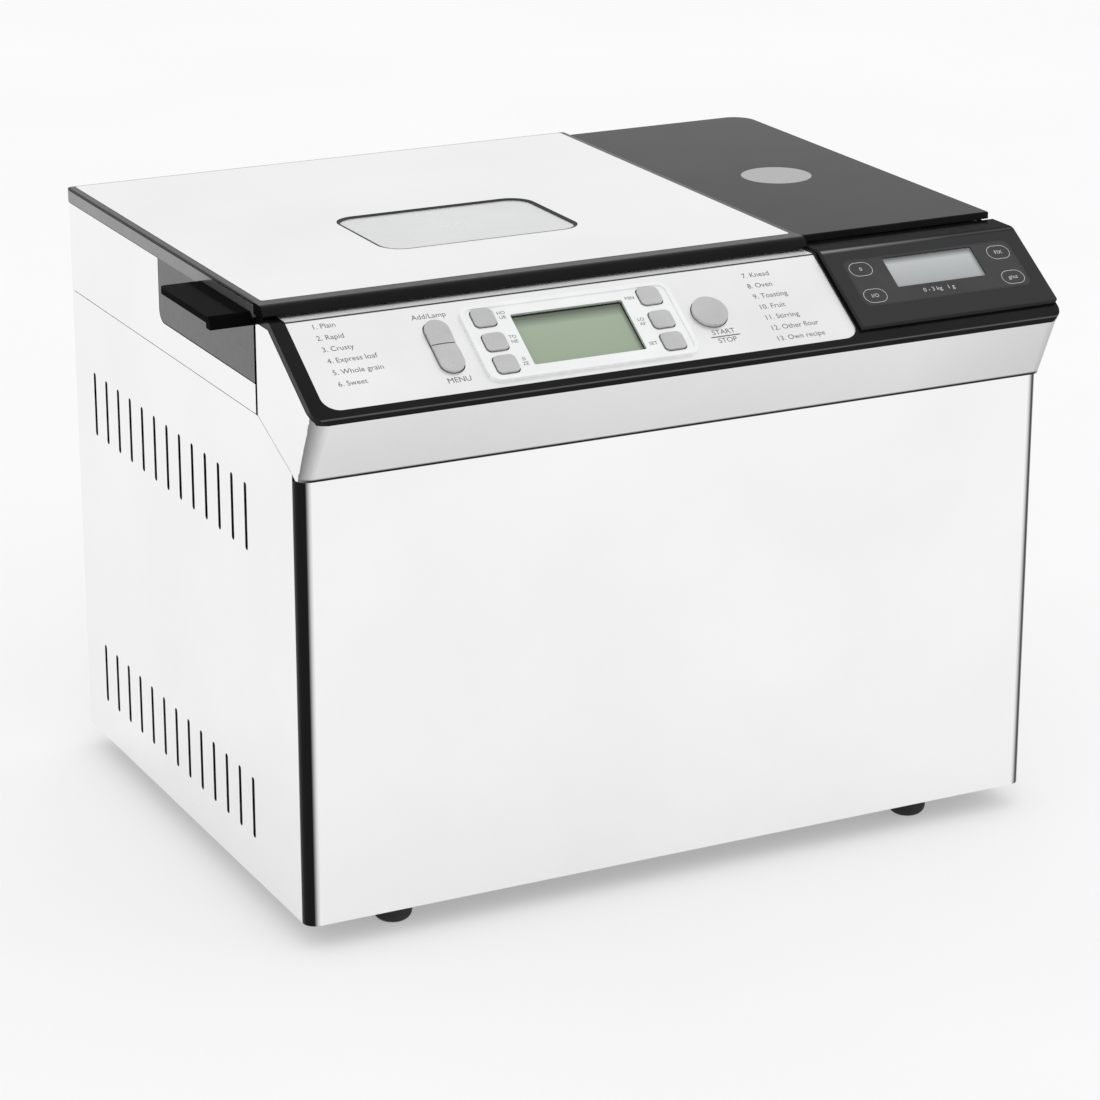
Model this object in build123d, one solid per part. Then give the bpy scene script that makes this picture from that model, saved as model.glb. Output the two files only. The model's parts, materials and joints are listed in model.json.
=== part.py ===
from build123d import *
import math
import os

# Bread machine with a hinged lid, a sloped control console and a built-in kitchen scale.
# Working axes: X from the left side panel to the right, Y from the front panel to the back,
# Z up from the lower edge of the casing. Finished pieces are moved once, when they are
# written, so that the origin lies under the middle of the whole machine, at foot level.

# ---------------------------------------------------------------- driving dimensions, mm
WIDTH = 380.0
DEPTH = 284.4
FOOT_HEIGHT = 12.0
SHEET = 1.0
GAP = 0.3

# Outer casing
PANEL_CORNER = 6.0
PANEL_TOP = 209.2
SIDE_START = 6.8
SEAM_Z = 228.4
BAND_FRONT = 46.0
BAND_TOP = 272.0
CUTOUT_BACK = 162.0
CUTOUT_BOTTOM = 242.0
REAR_FLANGE = 12.0
REAR_CORNER = 3.0
BACK_PANEL_Y = 282.3
BACK_PANEL_TOP = 271.5
BACK_SIDE = 4.0
FRONT_REACH = 30.0
FRONT_FLANGE_BACK = 18.0
FRONT_FLANGE_BOTTOM = 12.0
SIDE_REACH = 60.0
CUTOUT_CORNER = 6.0
CUTOUT_REACH = 40.0

# Base tray and its air inlet
BASE_SIDE = 2.3
BASE_FRONT = 1.3
BASE_BOTTOM = 0.5
BASE_FLOOR = 3.0
BASE_TOP = 11.0
BASE_WALL = 1.5
BASE_CORNER = 4.5
INLET_COUNT = 7
INLET_PITCH = 10.0
INLET_WIDTH = 4.0
INLET_Y = (118.0, 182.0)

# Louvres of the back panel
LOUVRE_SIZE = (34.0, 3.2)
LOUVRE_X = (80.0, 139.0, 198.0, 322.0)
LOUVRE_ROWS = 7
LOUVRE_FIRST_Z = 90.0
LOUVRE_PITCH = 10.0
HINGE_NOTCH_HALF = 13.0
HINGE_NOTCH_DROP = 0.8

# Ventilation slots in the side panels
SLOT_COUNT = 13
SLOT_FIRST_Y = 61.5
SLOT_PITCH = 16.1
SLOT_WIDTH = 3.0
SLOT_ROWS = ((20.5, 50.5), (160.5, 192.5))

# Console: chin, cheeks and the sloped panel
CHEEK_BACK = 43.9
CHIN_BOTTOM_Y = -2.5
CHIN_BOTTOM_Z = 209.9
CHIN_TOP_Y = -17.6
CHIN_TOP_Z = 239.5
CHIN_BOTTOM_CORNER = 6.0
CHIN_TOP_CORNER = 8.0
CONSOLE_SHEET = 1.2
SLOPE_Y = -17.0
SLOPE_Z = 242.5
SLOPE_ANGLE = 33.1
FLAT_Z = 272.9
FRAME_PROUD = 0.6
FRAME_UNDER = -2.4
FRAME_LIP_Y = -18.6
FRAME_LIP_Z = 239.6
FRAME_BACK = 43.6
FRAME_SIDE = 0.4
FASCIA_LEFT = 7.5
FASCIA_RIGHT = 272.0
FASCIA_START = 3.0
FASCIA_CORNER = 8.0
FASCIA_SHEET = 0.5
CHEEK_START = (8.3, 213.0)
CHIN_RETURN_Y = 3.0
HOUSING_FRONT = -30.0
SHELL_BACK = 90.0
SHELL_TOP = 290.0
HOUSING_REST = 0.1
LIP_REST = 3.6
FRAME_LIP_THICK = 3.0
FRAME_LIP_ROUND = 1.6
FRAME_LOW = -3.05
SLOPE_REACH = 120.0
MASK_REACH = 20.0
CUT_REACH = 5.0

# Main display and keys, placed along the slope
DISPLAY_LEFT = 110.4
DISPLAY_RIGHT = 166.0
DISPLAY_LOW = 12.7
DISPLAY_HIGH = 42.8
BEZEL_LEFT = 87.0
BEZEL_RIGHT = 191.5
BEZEL_LOW = 6.5
BEZEL_HIGH = 50.5
BEZEL_CORNER = 6.0
BEZEL_THICK = 1.0
BEZEL_RIM = 2.2
BEZEL_RIM_RISE = 0.6
SMALL_KEY_SIZE = (10.7, 10.0)
SMALL_KEY_CORNER = 2.5
LEFT_KEYS_X = 97.3
RIGHT_KEYS_X = 180.0
KEY_ROWS = {"upper": 42.4, "middle": 28.1, "lower": 14.9}
ROCKER_X = 73.5
ROCKER_WIDTH = 11.5
ROCKER_LOW = 15.0
ROCKER_HIGH = 45.0
ROCKER_SPLIT = 31.0
START_X = 205.0
START_T = 29.0
START_RADIUS = 8.5
KEY_PROUD = 2.6
KEY_CROWN_RADIUS = 40.0
KEY_CROWN_DROP = 0.2
KEY_EDGE = 0.9
START_PROUD = 3.0
KEY_TRAVEL = 0.8
KEY_CLEARANCE = 0.35
KEY_FLANGE = 1.0
KEY_FLANGE_THICK = 1.2
PLUNGER_END = -6.6
PLUNGER_RADIUS = 1.6
BOARD_TOP = -10.4
BOARD_THICK = 1.6
DISPLAY_CORNER = 1.0
DISPLAY_DEPTH = (-4.4, -1.2)
DISPLAY_FIT = 0.1
DISPLAY_PANEL_CORNER = 0.8
ROCKER_HALF_GAP = 0.2
ROCKER_REACH = 40.0
ROCKER_FLANGE_INSET = 0.5
ROCKER_FLANGE_CORNER = 1.0
START_FLANGE = 1.3
FRAME_KEY_SLACK = 0.15
BOARD_BOX = (20.0, 262.0, 2.0, 55.0)
BOARD_CORNER = 2.0
SWITCH_SIDE = 6.0
SWITCH_GAP = 0.2
DRIVER_PLACE = (225.0, 28.0)
DRIVER_SIDE = 14.0
DRIVER_THICK = 4.0
POST_X = (24.0, 150.0, 256.0)
POST_T = (6.0, 51.0)
POST_RADIUS = 2.5

# Scale console on the right of the slope
SCALE_LEFT = 274.0
SCALE_RIGHT = 379.2
SCALE_START = 6.5
SCALE_RISE = 3.2
SCALE_TOP_Z = 274.5
SCALE_BACK = 43.4
SCALE_RIDGE = 7.0
FILM_BOX = (281.0, 371.5, 17.4, 46.2)
FILM_CORNER = 4.0
FILM_THICK = 0.35
SCALE_DISPLAY_BOX = (302.5, 350.7, 26.6, 45.0)
SCALE_EDGE = 0.6
SCALE_DISPLAY_DEPTH = 1.6
SCALE_DISPLAY_SUNK = 0.5
SCALE_DISPLAY_CORNER = 0.5
SCALE_DISPLAY_FIT = 0.05
FILM_RISE = 0.05

# Lid
LID_TOP = 279.4
LID_RIGHT = 272.0
LID_LIP_FRONT = 35.5
LID_LIP_BOTTOM = 273.9
PLATE_BOX = (3.6, 268.6, 45.6, 282.4)
PLATE_THICK = 0.8
LID_CAP_BOTTOM = 278.3
LID_CAP_TOP = 279.2
LID_CORE_BOTTOM = 276.6
LID_CORE_INSET = 2.3
SKIRT_FRONT = 46.3
SKIRT_WALL = 2.0
SKIRT_BOTTOM = 272.3
SKIRT_TOP = 278.0
SKIRT_FLOOR = (273.0, 274.6)
DROP_BACK = 161.5
DROP_BOTTOM = 242.5
WINDOW_BOX = (88.0, 190.0, 99.0, 167.0)
WINDOW_CORNER = 12.0
WINDOW_SEAT = 277.2
HANDLE_OUT = 20.0
HANDLE_FRONT = 46.8
HANDLE_BACK = 108.0
HANDLE_TOP = 274.0
HANDLE_THICK = 3.0
HANDLE_LIP_DEPTH = 5.4
HANDLE_LIP_WIDTH = 4.7
TONGUE_BOX = (60.0, 95.0, 271.2, 273.8)
CAP_FRONT = 40.3
CAP_CORNER = 2.0
CAP_EDGE = 0.7
LIP_ROUND = 4.2
LIP_UNDER_ROUND = 1.0
PLATE_CORNER = 1.5
WINDOW_REBATE = 2.0
SKIRT_CORNER = 2.0
SKIRT_INNER_CORNER = 1.0
DROP_REACH = 40.0
DROP_CORNER = 5.5
LINER_BOX = (30.0, 248.0, 63.0, 237.0)
LINER_CORNER = 26.0
LINER_THICK = 0.9
GASKET_WIDTH = 9.0
GASKET_THICK = 1.25
HANDLE_UNDERCUT = 10.0
HANDLE_FRONT_ROUND = 4.0
HANDLE_BACK_ROUND = 3.0

# Lid hinge
HINGE_Y = 284.0
HINGE_Z = 271.5
HINGE_X = (45.0, 225.0)
KNUCKLE_RADIUS = 3.8
PIN_RADIUS = 2.0
KNUCKLE_HALF = 6.0
EAR_INNER = 6.3
EAR_OUTER = 12.0
RUNNING_CLEARANCE = 0.06
KNUCKLE_SLACK = 0.5
KNUCKLE_WEB_DROP = 1.0
PIN_OVERHANG = 0.4
BRACKET_GAP = 0.1
BRACKET_THICK = 1.5
BRACKET_HALF = 16.0
BRACKET_Z = (243.0, 264.0)
BRACKET_BORE_HALF = 14.0
EAR_WEB = 3.4
EAR_WEB_BOTTOM = 256.0

# Deck and scale bay
DECK_SIDE = 2.6
DECK_WALL = 1.5
DECK_FRONT = 46.5
DECK_BACK = 279.5
DECK_TOP = 271.5
DECK_THICK = 3.0
DECK_SKIRT = 236.0
BAY_LEFT = 272.5
BAY_FLOOR = 250.0
BAY_FLOOR_THICK = 2.5

# Baking chamber
CHAMBER_X = 139.0
CHAMBER_Y = 150.0
CHAMBER_SIZE = (216.0, 172.0)
CHAMBER_CORNER = 25.0
CHAMBER_WALL = 0.8
CHAMBER_BOTTOM = 78.0
CHAMBER_TOP = 268.5
CHAMBER_FLANGE = 9.0
SHAFT_OPENING = 16.0
ELEMENT_SIZE = (204.0, 160.0)
ELEMENT_CORNER = 20.0
ELEMENT_RADIUS = 3.25
ELEMENT_Z = 100.0
ELEMENT_LEAD = 12.0
ELEMENT_BEND = 5.0
PROBE_Z = 125.0
PROBE_RADIUS = 2.5
LAMP_Z = 190.0
LAMP_RADIUS = 15.0
ELEMENT_TAIL = 8.0
ELEMENT_SLACK = 0.4
OPENING_SLACK = 0.2
PROBE_OUT = 6.0
PROBE_IN = 13.0
PROBE_TIP = 1.5
PROBE_COLLAR = (3.0, 5.0)
LENS_IN = 4.5
LENS_EDGE = 3.0
LENS_OUT = 12.0
LENS_FLANGE = 4.0
LENS_WALL = 2.0
CLIP_GAP = 0.6
CLIP_THICK = 1.2
CLIP_FOOT = 12.0
CLIP_HALF = 10.0
CLIP_TOP = 90.0

# Bread pan
PAN_FLOOR = 92.0
PAN_RIM = 230.0
PAN_BOTTOM_SIZE = (178.0, 124.0)
PAN_TOP_SIZE = (190.0, 136.0)
PAN_BOTTOM_CORNER = 24.0
PAN_TOP_CORNER = 30.0
PAN_WALL = 1.6
PAN_RIM_OUT = 2.5
PAN_FOOT_RADIUS = 34.0
PAN_FOOT_END = 79.1
PAN_BOSS_RADIUS = 10.0
PAN_BOSS = (90.0, 102.0)
BAIL_Z = 233.2
BAIL_REACH = 68.0
BAIL_HALF = 103.0
BAIL_RADIUS = 2.5
BAIL_BEND = 20.0
EAR_PLATE = (97.7, 99.7)
PAN_RIM_THICK = 2.5
PAN_FOOT_WALL = 2.5
EAR_HALF = 8.0
EAR_BOTTOM = 206.0
EAR_PAD_DEPTH = 3.6
EAR_PAD_HALF = 9.0
EAR_PAD_Z = (208.0, 224.0)
BAIL_TIP = 1.5
BAIL_TIP_BEND = 3.4
PAN_SHAFT_Z = (83.5, 119.0)
CROSS_BAR_SIZE = (22.0, 5.0)
CROSS_BAR_TOP = 89.4
PADDLE_LIFT = 0.5
PADDLE_TOP = 123.0
PADDLE_HUB_RADIUS = 9.0
PADDLE_HUB_ROUND = 2.5
BLADE_THICK = 5.0
BLADE_SIDE = ((6.0, 103.5), (12.0, 103.5), (13.0, 96.0), (44.0, 96.0), (40.0, 118.0), (6.0, 121.0))

# Kneading drive
SHAFT_RADIUS = 5.0
PAN_SHAFT_RADIUS = 4.0
DRIVE_TOP = 82.4
LUG_TOP = 89.0
PULLEY_RADIUS = 45.0
SMALL_PULLEY_RADIUS = 9.0
PULLEY_Z = (12.0, 24.0)
BELT_GAP = 0.3
BELT_THICK = 2.5
MOTOR_X = 322.0
MOTOR_SIZE = 78.0
MOTOR_PLATE = (54.0, 58.0)
DRIVE_SHAFT_BOTTOM = 7.0
COUPLER_THICK = 2.8
COUPLER_RADIUS = 12.0
LUG_HALF = 5.5
LUG_REACH = (4.0, 10.5)
GROOVE_COUNT = 3
GROOVE_PITCH = 3.0
GROOVE_RADIUS = 1.0
GROOVE_OFFSET = 0.5
WEB_RECESS = 4.0
PULLEY_RIM = 6.0
PULLEY_HUB = 11.0
LIGHTENING_HOLES = 5
LIGHTENING_CIRCLE = 25.0
LIGHTENING_RADIUS = 6.0
BELT_INSET = 1.5
HOUSING_TABLE = (132.0, 104.0)
HOUSING_THICK = 4.0
HOUSING_CORNER = 8.0
HOUSING_RECESS = 2.0
BEARING_BOTTOM = 32.0
BEARING_RADIUS = 14.0
HOUSING_LEG = (60.0, 46.0)
HOUSING_LEG_HALF = 5.0
MOTOR_BELL_RADIUS = 30.0
MOTOR_BELL_LOW = 10.0
MOTOR_BELL_HIGH = 12.0
MOTOR_STACK = 46.0
MOTOR_CORNER = 8.0
MOTOR_PLATE_SIDE = 92.0
MOTOR_PLATE_BORE = 12.0
MOTOR_LEG = 40.0
MOTOR_LEG_HALF = 4.0
MOTOR_SHAFT_BOTTOM = 8.0
MOTOR_SHAFT_RISE = 72.0

# Supply board
SUPPLY_BOX = (276.0, 366.0, 212.0, 272.0)
SUPPLY_Z = (14.0, 15.6)
SUPPLY_PILLARS_X = (282.0, 360.0)
SUPPLY_PILLARS_Y = (218.0, 266.0)
SUPPLY_PILLAR_RADIUS = 3.0
TRANSFORMER_BOX = (290.0, 322.0, 225.0, 257.0)
TRANSFORMER_TOP = 42.0
RELAY_BOX = (334.0, 354.0, 228.0, 246.0)
RELAY_TOP = 32.0

# Scale platform
PLATFORM_BOX = (275.0, 378.9, 47.0, 284.4)
PLATFORM_TOP = 277.3
PLATFORM_THICK = 3.4
PLATFORM_BACK_CORNER = 12.0
DISC_X = 325.6
DISC_Y = 157.0
DISC_RADIUS = 17.5
CELL_X = 327.0
CELL_Z = (256.0, 268.0)
CELL_Y = (128.0, 203.0)
PLATFORM_LEFT_CORNER = 1.5
PLATFORM_EDGE = 0.4
DISC_DEPTH = 1.0
DISC_RISE = 0.05
CELL_HALF = 6.4
CELL_HOLE_OFFSET = 6.0
CELL_HOLE_RADIUS = 4.2
CELL_SPACER = 18.0
CARRIER_BOX = (287.0, 367.0, 95.0, 235.0)
CARRIER_THICK = 3.0
CARRIER_CORNER = 6.0
CARRIER_PAD = 14.0
CARRIER_PAD_GAP = 0.7

# Feet, screws and the cord gland
FOOT_RADIUS = 9.0
FOOT_ROUND = 4.5
FOOT_X = (49.5, 325.5)
FOOT_INSET_Y = 18.0
FOOT_PLUG_TOP = 5.0
FOOT_PLUG_RADIUS = 3.0
SCREW_RADIUS = 1.5
SCREW_HEAD_RADIUS = 3.2
SCREW_HEAD = 1.7
PANEL_SCREW_X = 7.5
PANEL_SCREW_Z = (30.0, 120.0, 210.0, 250.0)
BRACKET_SCREW_Z = 251.0
BRACKET_SCREW_X = 10.0
GLAND_X = 330.0
GLAND_Z = 40.0
GLAND_RADIUS = 8.0
SCREW_SLACK = 0.1
SCREW_HOLE_REACH = 8.0
CROSS_HALF = 1.8
CROSS_SLOT_HALF = 0.35
CROSS_FLOOR = 0.9
HEAD_OVERLAP = 0.2
GLAND_COLLAR = 3.0
GLAND_FLANGE = 3.0
GLAND_EDGE = 1.2
GLAND_SLEEVE = 9.0
GLAND_BORE = 3.8

# ---------------------------------------------------------------- derived values
SIN = math.sin(math.radians(SLOPE_ANGLE))
COS = math.cos(math.radians(SLOPE_ANGLE))
SLOPE = Plane(origin=(0, SLOPE_Y, SLOPE_Z), x_dir=(1, 0, 0), z_dir=(0, -SIN, COS)).location
SLOPE_AXIS = Axis((0, SLOPE_Y, SLOPE_Z), (0, -SIN, COS))
CENTRE = Plane.YZ.offset(WIDTH / 2)
REAR_MOST = HINGE_Y + KNUCKLE_RADIUS
X_MIDDLE = (WIDTH - HANDLE_OUT) / 2
Y_MIDDLE = (FRAME_LIP_Y + REAR_MOST) / 2
PAN_BORE = PAN_SHAFT_RADIUS + RUNNING_CLEARANCE
ROCKER_CORNER = ROCKER_WIDTH / 2 - 0.1
CHEEK_RISE = (SEAM_Z - CHEEK_START[1]) / (CHEEK_BACK - CHEEK_START[0])
PANEL_BACK = BACK_PANEL_Y + SHEET
PLATFORM_UNDER = PLATFORM_TOP - PLATFORM_THICK
KEY_TOP = FRAME_UNDER - GAP
FAR = 400.0


# ---------------------------------------------------------------- shape helpers
def block(x0, x1, y0, y1, z0, z1):
    """Box between two opposite corners."""
    return Pos((x0 + x1) / 2, (y0 + y1) / 2, (z0 + z1) / 2) * Box(x1 - x0, y1 - y0, z1 - z0)


def slab(x0, x1, y0, y1, z0, z1, radius):
    """Box with its four upright edges rounded."""
    outline = RectangleRounded(x1 - x0, y1 - y0, radius)
    return extrude(Pos((x0 + x1) / 2, (y0 + y1) / 2, z0) * outline, z1 - z0)


def centred_slab(x, y, size, z0, z1, radius):
    """Rounded box given by its middle and its plan size."""
    return slab(x - size[0] / 2, x + size[0] / 2, y - size[1] / 2, y + size[1] / 2, z0, z1, radius)


def rod(x, y, z0, z1, radius):
    """Upright cylinder."""
    return Pos(x, y, (z0 + z1) / 2) * Cylinder(radius, z1 - z0)


def rod_x(x0, x1, y, z, radius):
    """Cylinder along X."""
    return Pos((x0 + x1) / 2, y, z) * Rot(0, 90, 0) * Cylinder(radius, x1 - x0)


def rod_y(x, y0, y1, z, radius):
    """Cylinder along Y."""
    return Pos(x, (y0 + y1) / 2, z) * Rot(90, 0, 0) * Cylinder(radius, y1 - y0)


def side_profile(points, x0, x1):
    """Solid from x0 to x1 whose outline seen from the side is the (y, z) points."""
    outline = make_face(Polyline(points, close=True))
    return extrude(Plane.YZ.offset(x0) * outline, x1 - x0)


def slope_slab(box, w0, w1, radius):
    """Rounded plate lying on the slope; box is left, right, low and high along it."""
    x0, x1, t0, t1 = box
    outline = RectangleRounded(x1 - x0, t1 - t0, radius)
    return extrude(SLOPE * Pos((x0 + x1) / 2, (t0 + t1) / 2, w0) * outline, w1 - w0)


def slope_rod(x, t, w0, w1, radius):
    """Cylinder standing square to the slope."""
    return SLOPE * Pos(x, t, (w0 + w1) / 2) * Cylinder(radius, w1 - w0)


def slope_point(t, w):
    """The (y, z) of a point t up the slope and w out of it."""
    return (SLOPE_Y + t * COS - w * SIN, SLOPE_Z + t * SIN + w * COS)


def fold_point(w):
    """Where the slope meets the flat top strip, for a surface w out of both."""
    return slope_point((FLAT_Z + w - SLOPE_Z - w * COS) / SIN, w)


def slope_height(y, w):
    """Height of the surface w out of the slope at a given y."""
    t = (y - SLOPE_Y + w * SIN) / COS
    return slope_point(t, w)[1]


def folded_sheet(w0, w1, start, back, x0, x1):
    """Sheet that runs up the slope and folds onto the flat top strip."""
    lower = [slope_point(start, w0), fold_point(w0), (back, FLAT_Z + w0)]
    upper = [(back, FLAT_Z + w1), fold_point(w1), slope_point(start, w1)]
    return side_profile(lower + upper, x0, x1)


def grown(box, margin):
    """A plan or slope box with every side moved out by the margin."""
    x0, x1, y0, y1 = box
    return (x0 - margin, x1 + margin, y0 - margin, y1 + margin)


def right_hand(shape):
    """The same piece for the other side of the machine."""
    return mirror(shape, about=CENTRE)


def upright_edges(shape):
    return shape.edges().filter_by(Axis.Z)


# ---------------------------------------------------------------- screws and their holes
def rear_screw_points():
    """Places of the screws on the back: x, z and the y that the head sits on."""
    points = []
    for z in PANEL_SCREW_Z:
        points.append((PANEL_SCREW_X, z, DEPTH))
        points.append((WIDTH - PANEL_SCREW_X, z, DEPTH))
    for x in HINGE_X:
        for side in (-BRACKET_SCREW_X, BRACKET_SCREW_X):
            points.append((x + side, BRACKET_SCREW_Z, PANEL_BACK + BRACKET_GAP + BRACKET_THICK))
    return points


def rear_screw_holes():
    """Drillings for every rear screw."""
    y0, y1 = DEPTH - SCREW_HOLE_REACH, DEPTH + SCREW_HOLE_REACH
    return [rod_y(x, y0, y1, z, SCREW_RADIUS + SCREW_SLACK) for x, z, _ in rear_screw_points()]


def case_screws():
    """Cross-head screws that hold the back panel and the hinge brackets."""
    screws = []
    for x, z, seat in rear_screw_points():
        y0, y1 = seat + CROSS_FLOOR, seat + SCREW_HEAD + 1
        head = rod_y(x, seat, seat + SCREW_HEAD, z, SCREW_HEAD_RADIUS)
        shank = rod_y(x, DECK_BACK + GAP, seat + HEAD_OVERLAP, z, SCREW_RADIUS)
        level = block(x - CROSS_HALF, x + CROSS_HALF, y0, y1, z - CROSS_SLOT_HALF, z + CROSS_SLOT_HALF)
        upright = block(x - CROSS_SLOT_HALF, x + CROSS_SLOT_HALF, y0, y1, z - CROSS_HALF, z + CROSS_HALF)
        screws.append(head + shank - level - upright)
    return Compound(children=screws)


# ---------------------------------------------------------------- casing
def base_plate():
    """Shallow tray that everything stands in, with an air inlet under the motor."""
    left, front, rear = BASE_SIDE, BASE_FRONT, BACK_PANEL_Y - GAP
    tray = slab(left, WIDTH - left, front, rear, BASE_BOTTOM, BASE_TOP, BASE_CORNER)
    left, front, rear = left + BASE_WALL, front + BASE_WALL, rear - BASE_WALL
    tray -= slab(left, WIDTH - left, front, rear, BASE_FLOOR, BASE_TOP + 1, BASE_CORNER - BASE_WALL)
    holes = [rod(x, y, 0, BASE_FLOOR + 1, FOOT_PLUG_RADIUS) for x, y in foot_places()]
    return tray - air_inlet() - holes


def air_inlet():
    """Row of slots in the base below the motor."""
    y0, y1 = INLET_Y
    slots = []
    for i in range(INLET_COUNT):
        x = MOTOR_X + (i - INLET_COUNT // 2) * INLET_PITCH
        slots.append(slab(x, x + INLET_WIDTH, y0, y1, 0, BASE_FLOOR + 1, INLET_WIDTH / 2 - 0.1))
    return slots


def foot_places():
    return [(x, y) for x in FOOT_X for y in (FOOT_INSET_Y, DEPTH - FOOT_INSET_Y)]


def feet():
    """Four rubber feet with rounded undersides and a plug into the base."""
    solids = []
    for x, y in foot_places():
        pad = rod(x, y, -FOOT_HEIGHT, BASE_BOTTOM, FOOT_RADIUS)
        pad = fillet(pad.edges().sort_by(Axis.Z)[0], FOOT_ROUND)
        solids.append(pad + rod(x, y, BASE_BOTTOM, FOOT_PLUG_TOP, FOOT_PLUG_RADIUS))
    return Compound(children=solids)


def front_panel():
    """Front sheet with radiused corners and flanges tucked behind the side panels."""
    reach = FRONT_REACH
    edge = SIDE_START - GAP
    sheet = slab(0, WIDTH, 0, reach, 0, PANEL_TOP, PANEL_CORNER)
    sheet -= slab(SHEET, WIDTH - SHEET, SHEET, reach - SHEET, -1, PANEL_TOP + 1, PANEL_CORNER - SHEET)
    sheet -= block(-1, WIDTH + 1, edge, reach + 1, -1, PANEL_TOP + 1)
    flange = block(SHEET, 2 * SHEET, edge - 1, FRONT_FLANGE_BACK, FRONT_FLANGE_BOTTOM, PANEL_TOP)
    return sheet + flange + right_hand(flange)


def side_sheet(z0, z1):
    """Left-hand sheet with a rounded rear corner and a flange across the back."""
    reach = SIDE_REACH
    sheet = slab(0, reach, 0, DEPTH, z0, z1, REAR_CORNER)
    sheet -= slab(SHEET, reach * 2, -reach, DEPTH - SHEET, z0 - 1, z1 + 1, REAR_CORNER - SHEET)
    return sheet - block(REAR_FLANGE, reach + 1, -1, DEPTH + 1, z0 - 1, z1 + 1)


def vent_slots():
    """Both rows of upright slots in a side panel."""
    slots = []
    for low, high in SLOT_ROWS:
        outline = SlotOverall(high - low, SLOT_WIDTH, rotation=90)
        for i in range(SLOT_COUNT):
            place = Pos(SLOT_FIRST_Y + i * SLOT_PITCH, (low + high) / 2)
            slots.append(extrude(Plane.YZ.offset(-1) * place * outline, SHEET + 2))
    return slots


def left_side_panel():
    """Lower side sheet; its front top corner runs along the console's cheek."""
    top = SEAM_Z - GAP
    front_top = top - CHEEK_RISE * (CHEEK_BACK - SIDE_START)
    outline = [(SIDE_START, 0), (SIDE_START, front_top), (CHEEK_BACK, top), (FAR, top), (FAR, 0)]
    sheet = side_sheet(0, top) & side_profile(outline, -1, REAR_FLANGE + 1)
    return sheet - vent_slots() - rear_screw_holes()


def right_side_panel():
    return right_hand(left_side_panel())


def upper_band():
    """Left upper sheet between the seam and the lid, without the handle cut-out."""
    band = side_sheet(SEAM_Z, BAND_TOP)
    band -= block(-1, REAR_FLANGE + 1, -1, BAND_FRONT, SEAM_Z - 1, BAND_TOP + 1)
    return band - rear_screw_holes()


def left_upper_band():
    """Upper sheet with the opening that the lid's handle panel drops into."""
    reach = CUTOUT_REACH
    middle = Pos((CUTOUT_BACK - reach * 2) / 2, CUTOUT_BOTTOM + reach)
    outline = RectangleRounded(CUTOUT_BACK + reach * 2, reach * 2, CUTOUT_CORNER)
    opening = extrude(Plane.YZ.offset(-1) * middle * outline, SHEET + 2)
    return upper_band() - opening


def right_upper_band():
    return right_hand(upper_band())


def back_panel():
    """Rear sheet with louvre slots, hinge notches and the hole for the cord gland."""
    y0, y1 = BACK_PANEL_Y, PANEL_BACK
    sheet = block(BACK_SIDE, WIDTH - BACK_SIDE, y0, y1, 0, BACK_PANEL_TOP)
    notch_bottom = HINGE_Z - KNUCKLE_RADIUS - HINGE_NOTCH_DROP
    for x in HINGE_X:
        sheet -= block(x - HINGE_NOTCH_HALF, x + HINGE_NOTCH_HALF, y0 - 1, y1 + 1, notch_bottom, FAR)
    outline = SlotOverall(*LOUVRE_SIZE)
    slots = []
    for column in LOUVRE_X:
        for row in range(LOUVRE_ROWS):
            place = Pos(column, LOUVRE_FIRST_Z + row * LOUVRE_PITCH)
            slots.append(extrude(Plane.XZ.offset(-y1 - 1) * place * outline, SHEET + 2))
    gland_hole = rod_y(GLAND_X, y0 - 1, y1 + 1, GLAND_Z, GLAND_RADIUS)
    return sheet - slots - gland_hole - rear_screw_holes()


def cord_gland():
    """Moulded inlet bush that a mains cord would leave by."""
    y0, y1 = PANEL_BACK - GLAND_SLEEVE, PANEL_BACK + GLAND_COLLAR
    collar = rod_y(GLAND_X, PANEL_BACK, y1, GLAND_Z, GLAND_RADIUS + GLAND_FLANGE)
    collar = fillet(collar.edges().sort_by(Axis.Y)[-1], GLAND_EDGE)
    sleeve = rod_y(GLAND_X, y0, PANEL_BACK, GLAND_Z, GLAND_RADIUS)
    return collar + sleeve - rod_y(GLAND_X, y0 - 1, y1 + 1, GLAND_Z, GLAND_BORE)


# ---------------------------------------------------------------- console
def chin_shell(inset):
    """Outside form of the console: flared chin, cheeks and conical front corners."""
    back = SHELL_BACK
    x0, x1 = inset, WIDTH - inset
    sections = []
    for front, z, corner in (
        (CHIN_BOTTOM_Y, CHIN_BOTTOM_Z, CHIN_BOTTOM_CORNER),
        (CHIN_TOP_Y, CHIN_TOP_Z, CHIN_TOP_CORNER),
    ):
        y0 = front + inset
        outline = RectangleRounded(x1 - x0, back - y0, corner - inset)
        sections.append((Pos((x0 + x1) / 2, (y0 + back) / 2, z) * outline).face())
    flare = loft(sections, ruled=True)
    upper = slab(x0, x1, CHIN_TOP_Y + inset, back, CHIN_TOP_Z, SHELL_TOP, CHIN_TOP_CORNER - inset)
    return flare + upper


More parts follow.
